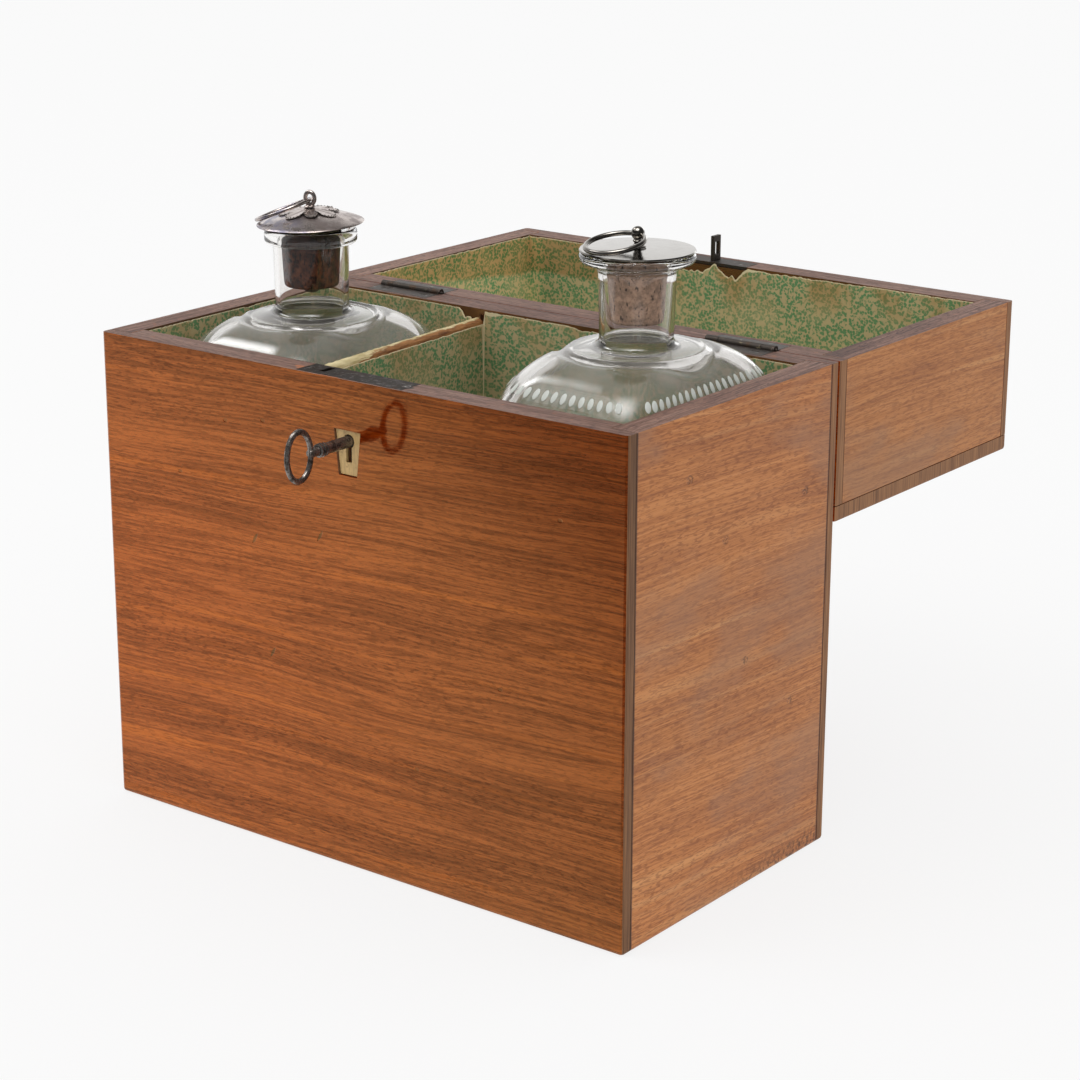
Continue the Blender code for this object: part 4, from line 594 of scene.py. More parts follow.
def cork_finish(name, base_colour, speck, density, shade_from, shade_to, shade, blotch=0.28):
    """Cork: mottled, with dark pores and short cracks, and painted shade towards its top, under the cap."""
    f = Finish(name)
    mottle = f.noise(f.place((330, 330, 330)), detail=5.0, rough=0.7)
    cracks = f.noise(f.place((1000, 1000, 420), rotate=(0.5, 0.3, 0)), detail=3.0, rough=0.6)
    cracks = f.level(cracks, density, density+0.06)
    tones = [tuple(share*v for v in base_colour) for share in (blotch, 0.9, 1.9-blotch)]
    base = f.ramp(mottle, *zip((0.38, 0.50, 0.61), tones))
    base = f.mix(f.calc('MULTIPLY', cracks, 0.9), base, speck)
    # Painted shade: darker towards the top, under the cap.
    base = f.mix(1.0, base, f.level(f.here()[2], shade_from, shade_to, 1.0, shade), 'MULTIPLY')
    return f.surface(base_color=base, roughness=0.82, specular=0.2,
                     normal=f.bump(f.calc('SUBTRACT', mottle, cracks), 0.0003, 0.6))


def glass_finish(c, name, edge, ridge):
    """Old blown glass, clear with slight waves, and with haze and grey bloom inside the shoulder."""
    f = Finish(name)
    waves = f.noise(f.place((34, 34, 22)), detail=2.0)
    normal = f.bump(waves, 0.0012, 0.35)
    high = f.here()[2]
    shoulder = f.calc('MULTIPLY', f.level(high, ridge+1.0*MM, ridge-1.5*MM), f.level(high, edge-4*MM, edge))
    haze = f.calc('MULTIPLY', f.calc('MULTIPLY', f.add("NewGeometry", out="Backfacing"), shoulder), 0.06)
    glass = f.shader(base_color=f.mix(shoulder, c.glass, c.glass_grey), roughness=haze, ior=1.56,
                     transmission_weight=1.0, normal=normal)
    smear = f.noise(f.place((60, 60, 90)), detail=3.0)
    bloom = f.calc('MULTIPLY', shoulder, f.level(smear, 0.3, 0.7, 0.04, 0.09))
    cloudy = f.add("MixShader", {0: bloom, 1: glass, 2: f.add("BsdfDiffuse", {"Color": c.bloom})})
    lit = f.rays("Shadow", "Diffuse")
    return f.close(f.add("MixShader", {0: lit, 1: cloudy, 2: f.add("BsdfTransparent", {"Color": 0.93})}))


def frost_finish(c):
    """Ground glass of the cut ovals."""
    f = Finish("cut_glass")
    grit = f.noise(f.place((2400, 2400, 2400)), detail=3.0)
    return f.surface(base_color=c.frost, roughness=0.55, ior=1.45, transmission_weight=0.08,
                     normal=f.bump(grit, 0.0001, 0.5))


# Mesh making

def loft(loops, caps=(True, True), ring=False):
    """Skin over closed loops of equal length; ring joins the last loop to the first."""
    bm = bmesh.new()
    rows = [[bm.verts.new(point) for point in loop] for loop in loops]
    pairs = list(zip(rows, rows[1:]))
    if ring:
        pairs.append((rows[-1], rows[0]))
    count = len(rows[0])
    for low, high in pairs:
        for i in range(count):
            j = (i+1) % count
            bm.faces.new((low[i], low[j], high[j], high[i]))
    if not ring and caps[0]:
        bm.faces.new(tuple(reversed(rows[0])))
    if not ring and caps[1]:
        bm.faces.new(tuple(rows[-1]))
    bmesh.ops.recalc_face_normals(bm, faces=bm.faces)
    return bm


def quarter(steps):
    """Even angles over a quarter turn, both ends included."""
    return [math.pi/2*k/steps for k in range(steps+1)]


def turned(profile, steps=72, ring=False):
    """A turned piece about Z from (radius, height) pairs."""
    angles = [2*math.pi*i/steps for i in range(steps)]
    return loft([[(r*math.cos(a), r*math.sin(a), z) for a in angles] for r, z in profile], ring=ring)


def torus(half_a, half_b, wire, steps=96, sides=20):
    """An oval ring of round wire in the XY plane."""
    loops = []
    for i in range(steps):
        a = 2*math.pi*i/steps
        middle = Vector((half_a*math.cos(a), half_b*math.sin(a), 0))
        out = Vector((half_b*math.cos(a), half_a*math.sin(a), 0)).normalized()
        loops.append([middle+wire*(math.cos(b)*out+math.sin(b)*Vector((0, 0, 1)))
                      for b in (2*math.pi*k/sides for k in range(sides))])
    return loft(loops, ring=True)


def join(*meshes):
    """One mesh from several."""
    whole = bmesh.new()
    for bm in meshes:
        part = bpy.data.meshes.new("part")
        bm.to_mesh(part)
        bm.free()
        whole.from_mesh(part)
        bpy.data.meshes.remove(part)
    return whole


def move(bm, matrix):
    """A mesh moved by a matrix."""
    bmesh.ops.transform(bm, matrix=matrix, verts=bm.verts)
    return bm


def on_axis(eye):
    """The move from the Z axis to the upright axis through a ring's eye."""
    return Matrix.Translation((eye.x, eye.y, 0))


def smooth_curve(points, steps):
    """A smooth run of (a, b) pairs through the given pairs."""
    run = []
    padded = [points[0], *points, points[-1]]
    for p0, p1, p2, p3 in zip(padded, padded[1:], padded[2:], padded[3:]):
        for k in range(steps):
            t = k/steps
            run.append(tuple(0.5*(2*b+(c-a)*t+(2*a-5*b+4*c-d)*t*t+(3*b-a-3*c+d)*t**3)
                             for a, b, c, d in zip(p0, p1, p2, p3)))
    return run+[tuple(points[-1])]


def waver(x, y, z, scale, octaves=3):
    """Repeatable wandering between about -1 and 1."""
    return noise.fractal(Vector((x, y, z))*scale, 1.0, 2.0, octaves)


def add_piece(name, bm, body, material, replaced=(), smooth=True):
    """A visible piece that rides on a body, in the place of the nodes that it replaces."""
    mesh = bpy.data.meshes.new(name)
    bm.to_mesh(mesh)
    bm.free()
    piece = bpy.data.objects.new(name, mesh)
    bpy.context.scene.collection.objects.link(piece)
    mesh.materials.append(material)
    mesh.polygons.foreach_set("use_smooth", [smooth]*len(mesh.polygons))
    if smooth:
        mesh.set_sharp_from_angle(angle=math.radians(38))
    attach(piece, body)
    if replaced:
        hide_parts(*replaced)
    return piece


def finish_nodes(material, *names):
    """Give nodes that are shown as packed their material."""
    for name in names:
        slots = frame["nodes"][name].material_slots
        if not slots:
            frame["nodes"][name].data.materials.append(material)
        for slot in slots:
            slot.material = material


# Linings

def tear_depth(x, y, z, sizes, tears):
    """How far below the rim the paper ends at a point of its edge."""
    depth = sizes.paper_fray*(0.55*waver(x, y, z, 90)+0.45*waver(x, y, z, 700))
    for middle, reach, deep in tears:
        share = 1-(Vector((x, y))-Vector(middle)).length/reach
        if share > 0:
            depth += deep*min(1.0, 1.6*share)*(1+0.5*waver(x, y, z, 420))
    return max(0.0, depth)


Column = namedtuple("Column", "verts along top brown peel depth")


def tray_path(low, high, step):
    """Points round a lining's four walls, as (x, y, distance along), and the whole way round."""
    corners = ((low.x, low.y), (high.x, low.y), (high.x, high.y), (low.x, high.y))
    path = []
    run = 0.0
    for (ax, ay), (bx, by) in zip(corners, corners[1:]+corners[:1]):
        span = math.hypot(bx-ax, by-ay)
        steps = max(2, int(span/step))
        for i in range(steps):
            t = i/steps
            path.append((ax+(bx-ax)*t, ay+(by-ay)*t, run+span*t))
        run += span
    return path, run


def torn_tray(name, node, body, sizes, material, gap, low_side=None, slant=None, tears=(), peels=(),
              stained=None):
    """A paper lining in a node's place: walls with a torn top edge, and a floor."""
    low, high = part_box(node)
    path, run = tray_path(low, high, sizes.paper_step)
    middle = (low+high)/2
    half = (high-low)/2
    bm = bmesh.new()
    print_map = bm.loops.layers.uv.new("print")
    tear_map = bm.loops.layers.uv.new("tear")
    peel_map = bm.loops.layers.uv.new("peel")
    columns = []
    for x, y, along in path:
        top = RIM-gap-tear_depth(x, y, low.z, sizes, tears)
        inner = Vector((middle.x+(x-middle.x)*(1-PAPER/half.x), middle.y+(y-middle.y)*(1-PAPER/half.y), 0))
        peel = 0.0
        if low_side is not None:
            if abs(x-low_side) < 0.5*MM:
                top = high.z-0.9*MM-0.4*MM*abs(waver(x, y, 0, 260))
                peel = 0.04 if abs(y-high.y) < 0.1*MM else 0.0
            aside = slant(y)*max(0.0, 1-abs(x-low_side)/0.03)
            x, inner.x = x+aside, inner.x+aside
        for spot, reach, wide in peels:
            peel += wide*max(0.0, 1-((Vector((x, y))-Vector(spot)).length/reach)**2)
        brown, depth = stained(x, y) if stained else (0.0, 0.0)
        spots = ((x, y, low.z), (x, y, top), (inner.x, inner.y, top), (inner.x, inner.y, low.z+PAPER))
        columns.append(Column([bm.verts.new(spot) for spot in spots], along, top, brown, peel, depth))
    for i, start in enumerate(columns):
        end = columns[(i+1) % len(columns)]
        far = end.along if end.along > start.along else run
        for k in range(3):
            corners = ((start, k, start.along), (end, k, far), (end, k+1, far), (start, k+1, start.along))
            face = bm.faces.new([column.verts[level] for column, level, _ in corners])
            for loop, (column, level, along) in zip(face.loops, corners):
                height = column.verts[level].co.z
                loop[print_map].uv = (along, height)
                loop[tear_map].uv = (column.brown, column.top-height)
                loop[peel_map].uv = (column.peel, column.depth)
    for level, flip in ((0, True), (3, False)):
        ring = [column.verts[level] for column in columns]
        face = bm.faces.new(tuple(reversed(ring)) if flip else tuple(ring))
        for loop in face.loops:
            loop[print_map].uv = loop.vert.co.xy
            loop[tear_map].uv = (0.0, 0.05)
            loop[peel_map].uv = (0.0, 0.0)
    bmesh.ops.recalc_face_normals(bm, faces=bm.faces)
    return add_piece(name, bm, body, material, (node,), smooth=False)


def partition_slant(sizes):
    """How far the loose partition stands aside at each place along its length."""
    low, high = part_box("partition")
    return lambda y: -math.tan(sizes.partition_slant)*(y-(low.y+high.y)/2)-0.5*MM


# Bottles

def reach_at(half_x, half_y, corner, angle):
    """How far a rectangle with round corners reaches from its middle in one direction."""
    c, s = abs(math.cos(angle)), abs(math.sin(angle))
    reach = min(half_x/max(c, 1e-9), half_y/max(s, 1e-9))
    flat_x, flat_y = half_x-corner, half_y-corner
    if reach*c > flat_x and reach*s > flat_y:
        lean = c*flat_x+s*flat_y
        reach = lean+math.sqrt(max(0.0, lean*lean-(flat_x*flat_x+flat_y*flat_y-corner*corner)))
    return reach


def round_rectangle(half_x, half_y, corner, height, steps=128):
    """One level of a bottle at even angles round its axis: a rectangle with round corners, or a circle."""
    points = []
    for i in range(steps):
        a = 2*math.pi*(i+0.5)/steps
        reach = reach_at(half_x, half_y, corner, a)
        points.append(Vector((reach*math.cos(a), reach*math.sin(a), height)))
    return points


class BottleForm:
    """Heights and radii of one bottle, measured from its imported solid."""

    def __init__(self, node, eye, sizes, edge, ridge, ridge_radius, neck, lip_radius, lip_rise, lip,
                 disc, rings):
        self.low, self.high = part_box(node)
        self.axis = Vector((eye.x, eye.y, 0))
        self.half_x = (self.high.x-self.low.x)/2
        self.half_y = (self.high.y-self.low.y)/2
        self.edge = edge
        self.ridge = ridge
        self.ridge_radius = ridge_radius
        self.neck = neck
        self.lip_radius = lip_radius
        self.lip_rise = lip_rise
        self.lip = lip
        self.disc = disc
        self.rings = rings
        self.sizes = sizes
        self.neck_foot = ridge+sizes.neck_fillet
        self.bore = neck-sizes.neck_wall

    def shoulder_level(self, angle, inset):
        """One level of the shoulder, from 0 at its edge to a quarter turn at the neck."""
        out, rise = math.cos(angle), math.sin(angle)
        end = self.ridge_radius-inset
        half_x, half_y = self.half_x-inset, self.half_y-inset
        corner = self.sizes.bottle_corner-inset
        points = round_rectangle(end+(half_x-end)*out, end+(half_y-end)*out, end+(corner-end)*out,
                                 self.edge-inset+(self.ridge-self.edge)*rise)
        if inset == 0:
            for point in points:
                point.z = self.pressed(math.hypot(point.x, point.y), point.z)
        return points

    def pressed(self, radius, height):
        """Height of the shoulder with the low cone and the rings that were pressed in round the neck."""
        reach, fall = self.disc
        cone = self.ridge-fall*(radius-self.ridge_radius)
        share = max(0.0, min(1.0, (reach+1.0*MM-radius)/(1.8*MM)))
        height += (cone-height)*share*share*(3-2*share)
        return height+sum(deep*math.exp(-((radius-middle)/wide)**2) for middle, wide, deep in self.rings)

    def wall_level(self, inset, height):
        """One level of the upright walls, drawn in by an inset."""
        return round_rectangle(self.half_x-inset, self.half_y-inset, self.sizes.bottle_corner-inset, height)

    def neck_rings(self):
        """(radius, height) pairs up the outside of the neck, over the lip and down the bore."""
        s = self.sizes
        spread = s.neck_spread
        top = self.high.z
        lip_foot = top-self.lip_rise
        out = self.lip_radius-self.neck
        soft = 0.3*s.neck_wall
        throat = self.ridge_radius-s.glass_wall-self.bore
        shares = [k/8 for k in range(1, 8)]
        rings = [(self.ridge_radius-(self.ridge_radius-self.neck)*math.sin(a),
                  self.neck_foot-(self.neck_foot-self.ridge)*math.cos(a)) for a in quarter(10)[1:]]
        rings += [(self.neck+spread*t, self.neck_foot+(lip_foot-self.neck_foot)*t) for t in shares]
        rings += smooth_curve([(self.neck+spread+(out-spread)*a, lip_foot+self.lip_rise*b)
                               for a, b in self.lip], 4)
        rings += [(self.bore+spread+soft*(1-math.sin(a)), top-soft*(1-math.cos(a))) for a in quarter(4)[1:]]
        rings += [(self.bore+spread*t, self.neck_foot+(top-1*MM-self.neck_foot)*t)
                  for t in (1.0, *reversed(shares))]
        rings += [(self.bore+throat*(1-math.cos(a)), self.neck_foot-(s.neck_fillet+s.glass_wall)*math.sin(a))
                  for a in quarter(10)[:-1]]
        return rings

    def mesh(self):
        """The whole bottle as one skin: foot, walls, shoulder, neck, and the inside down to its floor."""
        wall = self.sizes.glass_wall
        foot = self.sizes.bottle_foot
        floor = self.low.z
        base = floor+self.sizes.glass_base
        levels = []
        for a in quarter(4):
            inset = foot*(1-math.sin(a))
            levels.append(self.wall_level(inset, floor+foot*(1-math.cos(a))))
        levels += [self.shoulder_level(a, 0) for a in quarter(88)]
        levels += [round_rectangle(r, r, r, z) for r, z in self.neck_rings()]
        levels += [self.shoulder_level(a, wall) for a in reversed(quarter(30))]
        for a in quarter(4):
            inset = wall+foot*(1-math.cos(a))
            levels.append(self.wall_level(inset, base+foot*(1-math.sin(a))))
        return move(loft(levels), Matrix.Translation(self.axis))

    def shoulder_point(self, heading, angle):
        """A point of the outer shoulder and its outward direction, by heading and rise."""
        def at(h, a):
            end = self.ridge_radius
            spans = (self.half_x, self.half_y, self.sizes.bottle_corner)
            level = [end+(span-end)*math.cos(a) for span in spans]
            reach = reach_at(*level, h)
            height = self.edge+(self.ridge-self.edge)*math.sin(a)
            return Vector((reach*math.cos(h), reach*math.sin(h), height))
        point = at(heading, angle)
        side = at(heading+0.01, angle)-point
        up = at(heading, angle+0.01)-point
        return point+self.axis, side.cross(up).normalized()


def cut_ovals(form, sizes):
    """Shallow ground ovals along the four edges of the shoulder."""
    rise = math.radians(32)
    angles = [2*math.pi*k/20 for k in range(20)]
    ovals = []
    for side in range(4):
        along_y = side % 2 == 0
        half = (form.half_y if along_y else form.half_x)-8*MM
        face = (form.half_x if along_y else form.half_y)*(1 if side < 2 else -1)
        count = int(2*half/sizes.oval_pitch)
        for i in range(count+1):
            offset = -half+2*half*i/count
            heading = math.atan2(offset, face) if along_y else math.atan2(face, offset)
            middle, out = form.shoulder_point(heading, rise)
            up = (form.shoulder_point(heading, rise+0.05)[0]-middle).normalized()
            wide, tall = up.cross(out)*sizes.oval_width/2, up*sizes.oval_height/2
            ovals.append(loft([[middle+out*lift+share*(wide*math.cos(a)+tall*math.sin(a)) for a in angles]
                               for share, lift in ((1.0, 0.02*MM), (0.8, 0.16*MM), (0.45, 0.22*MM))]))
    return join(*ovals)


def cork_mesh(eye, top, foot, wide, sizes, hole):
    """A tapered cork with soft edges and an uneven skin, round a hole for the stud."""
    narrow = wide-sizes.cork_taper
    rise = top-foot
    profile = [(hole, top), (hole, foot)]
    profile += [(narrow-1.2*MM*(1-math.sin(a)), foot+1.2*MM*(1-math.cos(a))) for a in quarter(4)]
    profile += [(narrow+(wide-narrow)*t, foot+rise*t) for t in (k/24 for k in range(2, 25))]
    bm = turned(profile, 72, ring=True)
    for v in bm.verts:
        if math.hypot(v.co.x, v.co.y) > hole*1.5:
            v.co.xy *= 1-0.012*abs(waver(*v.co, 420))
    return move(bm, on_axis(eye))


def dome_height(radius, reach, foot, edge, rise):
    """Height of a domed cap's top at a radius."""
    return foot+edge+rise*(1-(radius/reach)**2)


def cap_mesh(eye, foot, edge, rise, reach, hole):
    """A thin turned cap with a rolled edge."""
    profile = [(hole, foot), (reach-2*edge, foot)]
    profile += [(reach-edge*(1-math.sin(a)), foot+edge*0.55*(1-math.cos(a))) for a in quarter(5)]
    rim = 0.988*reach
    for k in range(25):
        r = rim-(rim-hole)*k/24
        profile.append((r, dome_height(r, reach, foot, edge, rise)))
    return move(turned(profile, 96, ring=True), on_axis(eye))


def rosette_mesh(eye, foot, sizes, hole):
    """Leaves round the stud: a veined sheet with notched outline, tips that lift, and beaded edges."""
    leaves = sizes.rosette_leaves
    per_leaf = 18
    shares = [k/9 for k in range(10)]

    def spot(angle, share, lift):
        lobe = (angle*leaves/(2*math.pi)+0.5) % 1*2-1
        number = int(angle*leaves/(2*math.pi)+0.5) % leaves
        tip = sizes.rosette_radius*(1-0.05*(number*5 % 3))
        edge = tip-4.2*MM*abs(lobe)**2.2
        radius = hole+(edge-hole)*share
        height = dome_height(radius, sizes.cap_radius, foot, sizes.left_cap_edge, sizes.left_cap_dome)
        vein = -0.16*MM*math.exp(-(lobe/0.13)**2)*min(1.0, 3*share)
        curl = (0.05+0.10*(number*7 % 5))*MM*share**3+0.12*MM*abs(lobe)**2*share
        ripple = 0.04*MM*math.sin(26*share+9*abs(lobe))*share
        hub = 0.55*MM*max(0.0, 1-share/0.35)
        return Vector((radius*math.cos(angle), radius*math.sin(angle),
                       height+0.1*MM+lift*(0.30*MM+vein+ripple+hub)+curl))
    angles = [2*math.pi*k/(leaves*per_leaf) for k in range(leaves*per_leaf)]
    under = [[spot(a, t, 0) for a in angles] for t in shares]
    over = [[spot(a, t, 1) for a in angles] for t in reversed(shares)]
    sheet = loft(under+over, ring=True)
    beads = bmesh.new()
    for k in range(0, leaves*per_leaf, 2):
        place = spot(angles[k], 0.955, 1)
        bmesh.ops.create_icosphere(beads, subdivisions=1, radius=0.26*MM, matrix=Matrix.Translation(place))
    return move(sheet, on_axis(eye)), move(beads, on_axis(eye))


def ring_mesh(eye, radius, wire, lean, heading):
    """A ring of wire that hangs by its edge in an eye, leaning from level."""
    place = Matrix.Translation(eye) @ Matrix.Rotation(heading, 4, 'Z') @ Matrix.Rotation(lean, 4, 'Y')
    return move(torus(radius, radius, wire), place @ Matrix.Translation((radius, 0, 0)))


def askew(eye, pivot_height, angle, yaw):
    """The left stopper's tilt: its left edge, seen from the front, hangs lower."""
    pivot = Matrix.Translation((eye.x, eye.y, pivot_height))
    return pivot @ Matrix.Rotation(-angle, 4, Vector((-math.sin(yaw), math.cos(yaw), 0))) @ pivot.inverted()


# Stage

def add_floor(scene, studio):
    """The floor: white to the eye with soft shadows, and dark before the case where gloss mirrors it."""
    f = Finish("pale_floor")
    dull = f.add("BsdfDiffuse", {"Color": studio.floor})
    ahead = Vector(studio.camera_place)
    ahead.z = 0
    near = f.add("VectorMath", {0: f.add("TexCoord", out="Object"), 1: ahead.normalized()}, out="Value",
                 operation='DOT_PRODUCT')
    beyond = f.calc('MULTIPLY', f.rays("Transmission"), f.level(near, 0.78, 0.92))
    mirrored = f.calc('MULTIPLY', f.rays("Glossy"), f.calc('SUBTRACT', 1.0, beyond))
    unlit = f.calc('MULTIPLY', mirrored, f.level(near, 0.05, 0.38))
    strength = f.level(unlit, 0.0, 1.0, 1.0, studio.room)
    white = f.add("Emission", {"Color": studio.floor_white, "Strength": strength})
    seen = f.add("MixShader", {0: studio.floor_shade, 1: white, 2: dull})
    shown = f.rays("Camera", "Glossy", "Transmission")
    mesh = bpy.data.meshes.new("floor")
    bm = bmesh.new()
    bmesh.ops.create_grid(bm, x_segments=2, y_segments=2, size=30.0)
    bm.to_mesh(mesh)
    bm.free()
    mesh.materials.append(f.close(f.add("MixShader", {0: shown, 1: dull, 2: seen})))
    floor = bpy.data.objects.new("floor", mesh)
    floor.location.z = -0.2*MM
    scene.collection.objects.link(floor)


def add_surroundings(scene, studio):
    """White surroundings with even light; gloss sees a dim room on the camera's side and a grey ceiling."""
    w = Finish("white_studio", bpy.data.worlds.new("white_studio"), "OutputWorld")
    direction = w.add("TexCoord", out="Generated")
    towards = w.add("VectorMath", {0: direction, 1: Vector(studio.camera_place).normalized()}, out="Value",
                    operation='DOT_PRODUCT')
    around = w.level(towards, -0.70, -0.10, studio.backdrop, studio.room)
    seen = w.calc('MULTIPLY', w.rays("Camera", "Transmission"), studio.backdrop)
    around = w.calc('MAXIMUM', around, seen)
    around = w.calc('MAXIMUM', around, w.level(w.axes(direction)[2], 0.82, 0.97, 0.0, studio.ceiling))
    plain = w.add("Background", {"Color": 1.0, "Strength": studio.ambient})
    white = w.add("Background", {"Color": 1.0, "Strength": around})
    shown = w.rays("Camera", "Glossy", "Transmission")
    scene.world = w.close(w.add("MixShader", {0: shown, 1: plain, 2: white}))


def add_lamp(scene, studio):
    """The large soft lamp."""
    lamp = bpy.data.lights.new("soft_lamp", 'AREA')
    lamp.shape = 'DISK'
    lamp.size = 1.4
    lamp.energy = studio.key_light
    light = bpy.data.objects.new("soft_lamp", lamp)
    light.location = (-0.9, -1.0, 1.9)
    light.rotation_euler = (Vector((0, 0, 0.12))-light.location).to_track_quat('-Z', 'Y').to_euler()
    scene.collection.objects.link(light)


def add_panel(scene, name, heading, height, wide, tall, gleam):
    """A panel with soft edges, by heading and height in degrees, that only shows as a gleam."""
    panel = bpy.data.lights.new(name, 'AREA')
    panel.shape = 'RECTANGLE'
    panel.size, panel.size_y = wide, tall
    panel.energy = math.pi*wide*tall
    f = Finish(name, panel, "OutputLight")
    across, up, _ = f.axes(f.add("NewGeometry", out="Parametric"))
    soft = [f.level(f.calc('ABSOLUTE', f.calc('SUBTRACT', place, 0.5)), 0.5, 0.0) for place in (across, up)]
    strength = f.calc('MULTIPLY', f.calc('MULTIPLY', *soft), gleam)
    f.close(f.add("Emission", {"Color": 1.0, "Strength": strength}))
    sheet = bpy.data.objects.new(name, panel)
    around, above = math.radians(heading), math.radians(height)
    out = Vector((math.cos(above)*math.cos(around), math.cos(above)*math.sin(around), math.sin(above)))
    sheet.location = Vector((0, 0, RIM))+2.0*out
    sheet.rotation_euler = out.to_track_quat('Z', 'Y').to_euler()
    sheet.visible_diffuse = False
    sheet.visible_camera = False
    sheet.visible_transmission = False
    scene.collection.objects.link(sheet)


def add_camera(scene, studio):
    """The camera, by its place, heading, tilt and roll."""
    right = Vector((math.cos(studio.yaw), math.sin(studio.yaw), 0))
    level = math.cos(studio.pitch)
    ahead = Vector((-math.sin(studio.yaw)*level, math.cos(studio.yaw)*level, -math.sin(studio.pitch)))
    up = right.cross(ahead)
    across = right*math.cos(studio.roll)+up*math.sin(studio.roll)
    above = up*math.cos(studio.roll)-right*math.sin(studio.roll)
    camera = bpy.data.cameras.new("camera")
    camera.lens = studio.lens
    camera.sensor_width = 36.0
    camera.clip_start = 0.05
    holder = bpy.data.objects.new("camera", camera)
    turned_to = Matrix((across, above, -ahead)).transposed().to_4x4()
    holder.matrix_world = Matrix.Translation(studio.camera_place) @ turned_to
    scene.collection.objects.link(holder)
    scene.camera = holder


# Operators

class LIQUORCASE_OT_boards(bpy.types.Operator):
    """Give the boards of case and lid their woods"""
    bl_idname = "liquorcase.boards"
    bl_label = "Boards"
    bl_options = {'REGISTER', 'UNDO'}

    def execute(self, context):
        c = context.scene.case_colours
        front = (c.front_dark, c.front_mid, c.front_light, c.front_pale)
        side = (c.side_dark, c.side_mid, c.side_light, c.side_pale)
        finish_nodes(wood_finish("front_wood_painted_light", front, c, along=0, seed=1, coat=0.0, lustre=0.74,
                                 marks=front_marks_and_painted_light), "front_board")
        finish_nodes(wood_finish("back_wood", front, c, along=0, seed=5, coat=0.0, lustre=0.70,
                                 marks=plain_marks), "back_board", "lid_front_board", "lid_back_board")
        finish_nodes(wood_finish("top_wood", front, c, along=0, seed=9, coat=0.0, lustre=0.70,
                                 marks=plain_marks), "lid_top_board")
        finish_nodes(wood_finish("side_wood_worn", side, c, along=1, seed=2, coat=0.22, lustre=0.12,
                                 marks=side_marks, lean=0.05), "left_side_board", "right_side_board")
        finish_nodes(wood_finish("lid_side_wood", side, c, along=1, seed=7, coat=0.22, lustre=0.12,
                                 marks=lid_side_marks, lean=0.02), "lid_left_board", "lid_right_board")
        finish_nodes(wood_finish("bottom_wood", side, c, along=0, seed=11, coat=0.0, lustre=0.12,
                                 marks=plain_marks), "bottom_board")
        return {'FINISHED'}


class LIQUORCASE_OT_linings(bpy.types.Operator):
    """Make the torn paper linings of both bays and of the lid"""
    bl_idname = "liquorcase.linings"
    bl_label = "Paper linings"
    bl_options = {'REGISTER', 'UNDO'}

    def execute(self, context):
        c, s = context.scene.case_colours, context.scene.case_sizes
        bay = paper_finish(c, "bay_paper", 0.75)
        # 1.5 brightens the paper on the lid's left wall.
        lid = paper_finish(c, "lid_paper", 1.0, 1.5)
        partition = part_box("partition")
        corner = (partition[0].x+partition[1].x)/2
        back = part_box("right_bay_lining")[1].y
        slant = partition_slant(s)
        torn_tray("left_bay_paper", "left_bay_lining", "case_body", s, bay, s.paper_gap,
                  low_side=partition[0].x, slant=slant,
                  tears=(((corner-3.5*MM, back), 0.006, 0.0034),), peels=(((corner, back), 0.010, 0.0006),))
        torn_tray("right_bay_paper", "right_bay_lining", "case_body", s, bay, s.paper_gap,
                  low_side=partition[1].x, slant=slant,
                  tears=(((0.0, -back), 0.026, 0.004), ((0.020, back), 0.012, 0.0010)),
                  peels=(((corner+3*MM, back), 0.005, 0.0012),))

        def stained(x, y):
            """Share and depth of the brown stain along the lid's top edge."""
            left = max(0.0, min(1.0, (-0.015-x)/0.06))
            right = max(0.0, min(1.0, (x-0.095)/0.015))*max(0.0, min(1.0, (y-0.15)/0.03))
            deep = 0.0045+0.0095*max(0.0, min(1.0, (y-0.08)/0.09))*max(0.0, min(1.0, (0.01-x)/0.08))
            return max(left, 0.6*right), deep
        torn_tray("lid_paper", "lid_lining", "lid", s, lid, s.lid_paper_gap, stained=stained,
                  tears=(((-0.024, LID_BACK_WALL), 0.012, 0.0044), ((-0.004, LID_BACK_WALL), 0.008, 0.0050),
                         ((-0.050, LID_BACK_WALL), 0.012, 0.0014), ((0.030, LID_BACK_WALL), 0.03, 0.0006)),
                  peels=(((0.003, LID_BACK_WALL), 0.007, 0.0010), ((-0.014, LID_BACK_WALL), 0.010, 0.0004)))
        return {'FINISHED'}


class LIQUORCASE_OT_partition(bpy.types.Operator):
    """Make the partition with its worn top edge"""
    bl_idname = "liquorcase.partition"
    bl_label = "Partition"
    bl_options = {'REGISTER', 'UNDO'}

    def execute(self, context):
        s = context.scene.case_sizes
        low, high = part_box("partition")
        radius = (high.x-low.x)/2
        middle = (low.x+high.x)/2
        top = high.z-0.8*MM
        outline = [(low.x, low.z), (high.x, low.z)]
        outline += [(middle+radius*math.cos(a), top-radius+radius*math.sin(a))
                    for a in (math.pi*k/16 for k in range(17))]
        steps = 140
        slant = partition_slant(s)
        loops = []
        for k in range(steps+1):
            y = low.y+(high.y-low.y)*k/steps
            wear = s.partition_wear*(0.35+0.65*abs(waver(0, y, 0, 130)))+2.0*MM*max(0.0, 1-(high.y-y)/(2.4*MM))
            loop = []
            for x, z in outline:
                worn = wear*(1+0.8*waver(x, y, 0, 600)) if z > high.z-radius*0.9 else 0.0
                loop.append(Vector((x+slant(y), y, z-worn)))
            loops.append(loop)
        add_piece("partition_board", loft(loops), "case_body", partition_finish(), ("partition",))
        return {'FINISHED'}


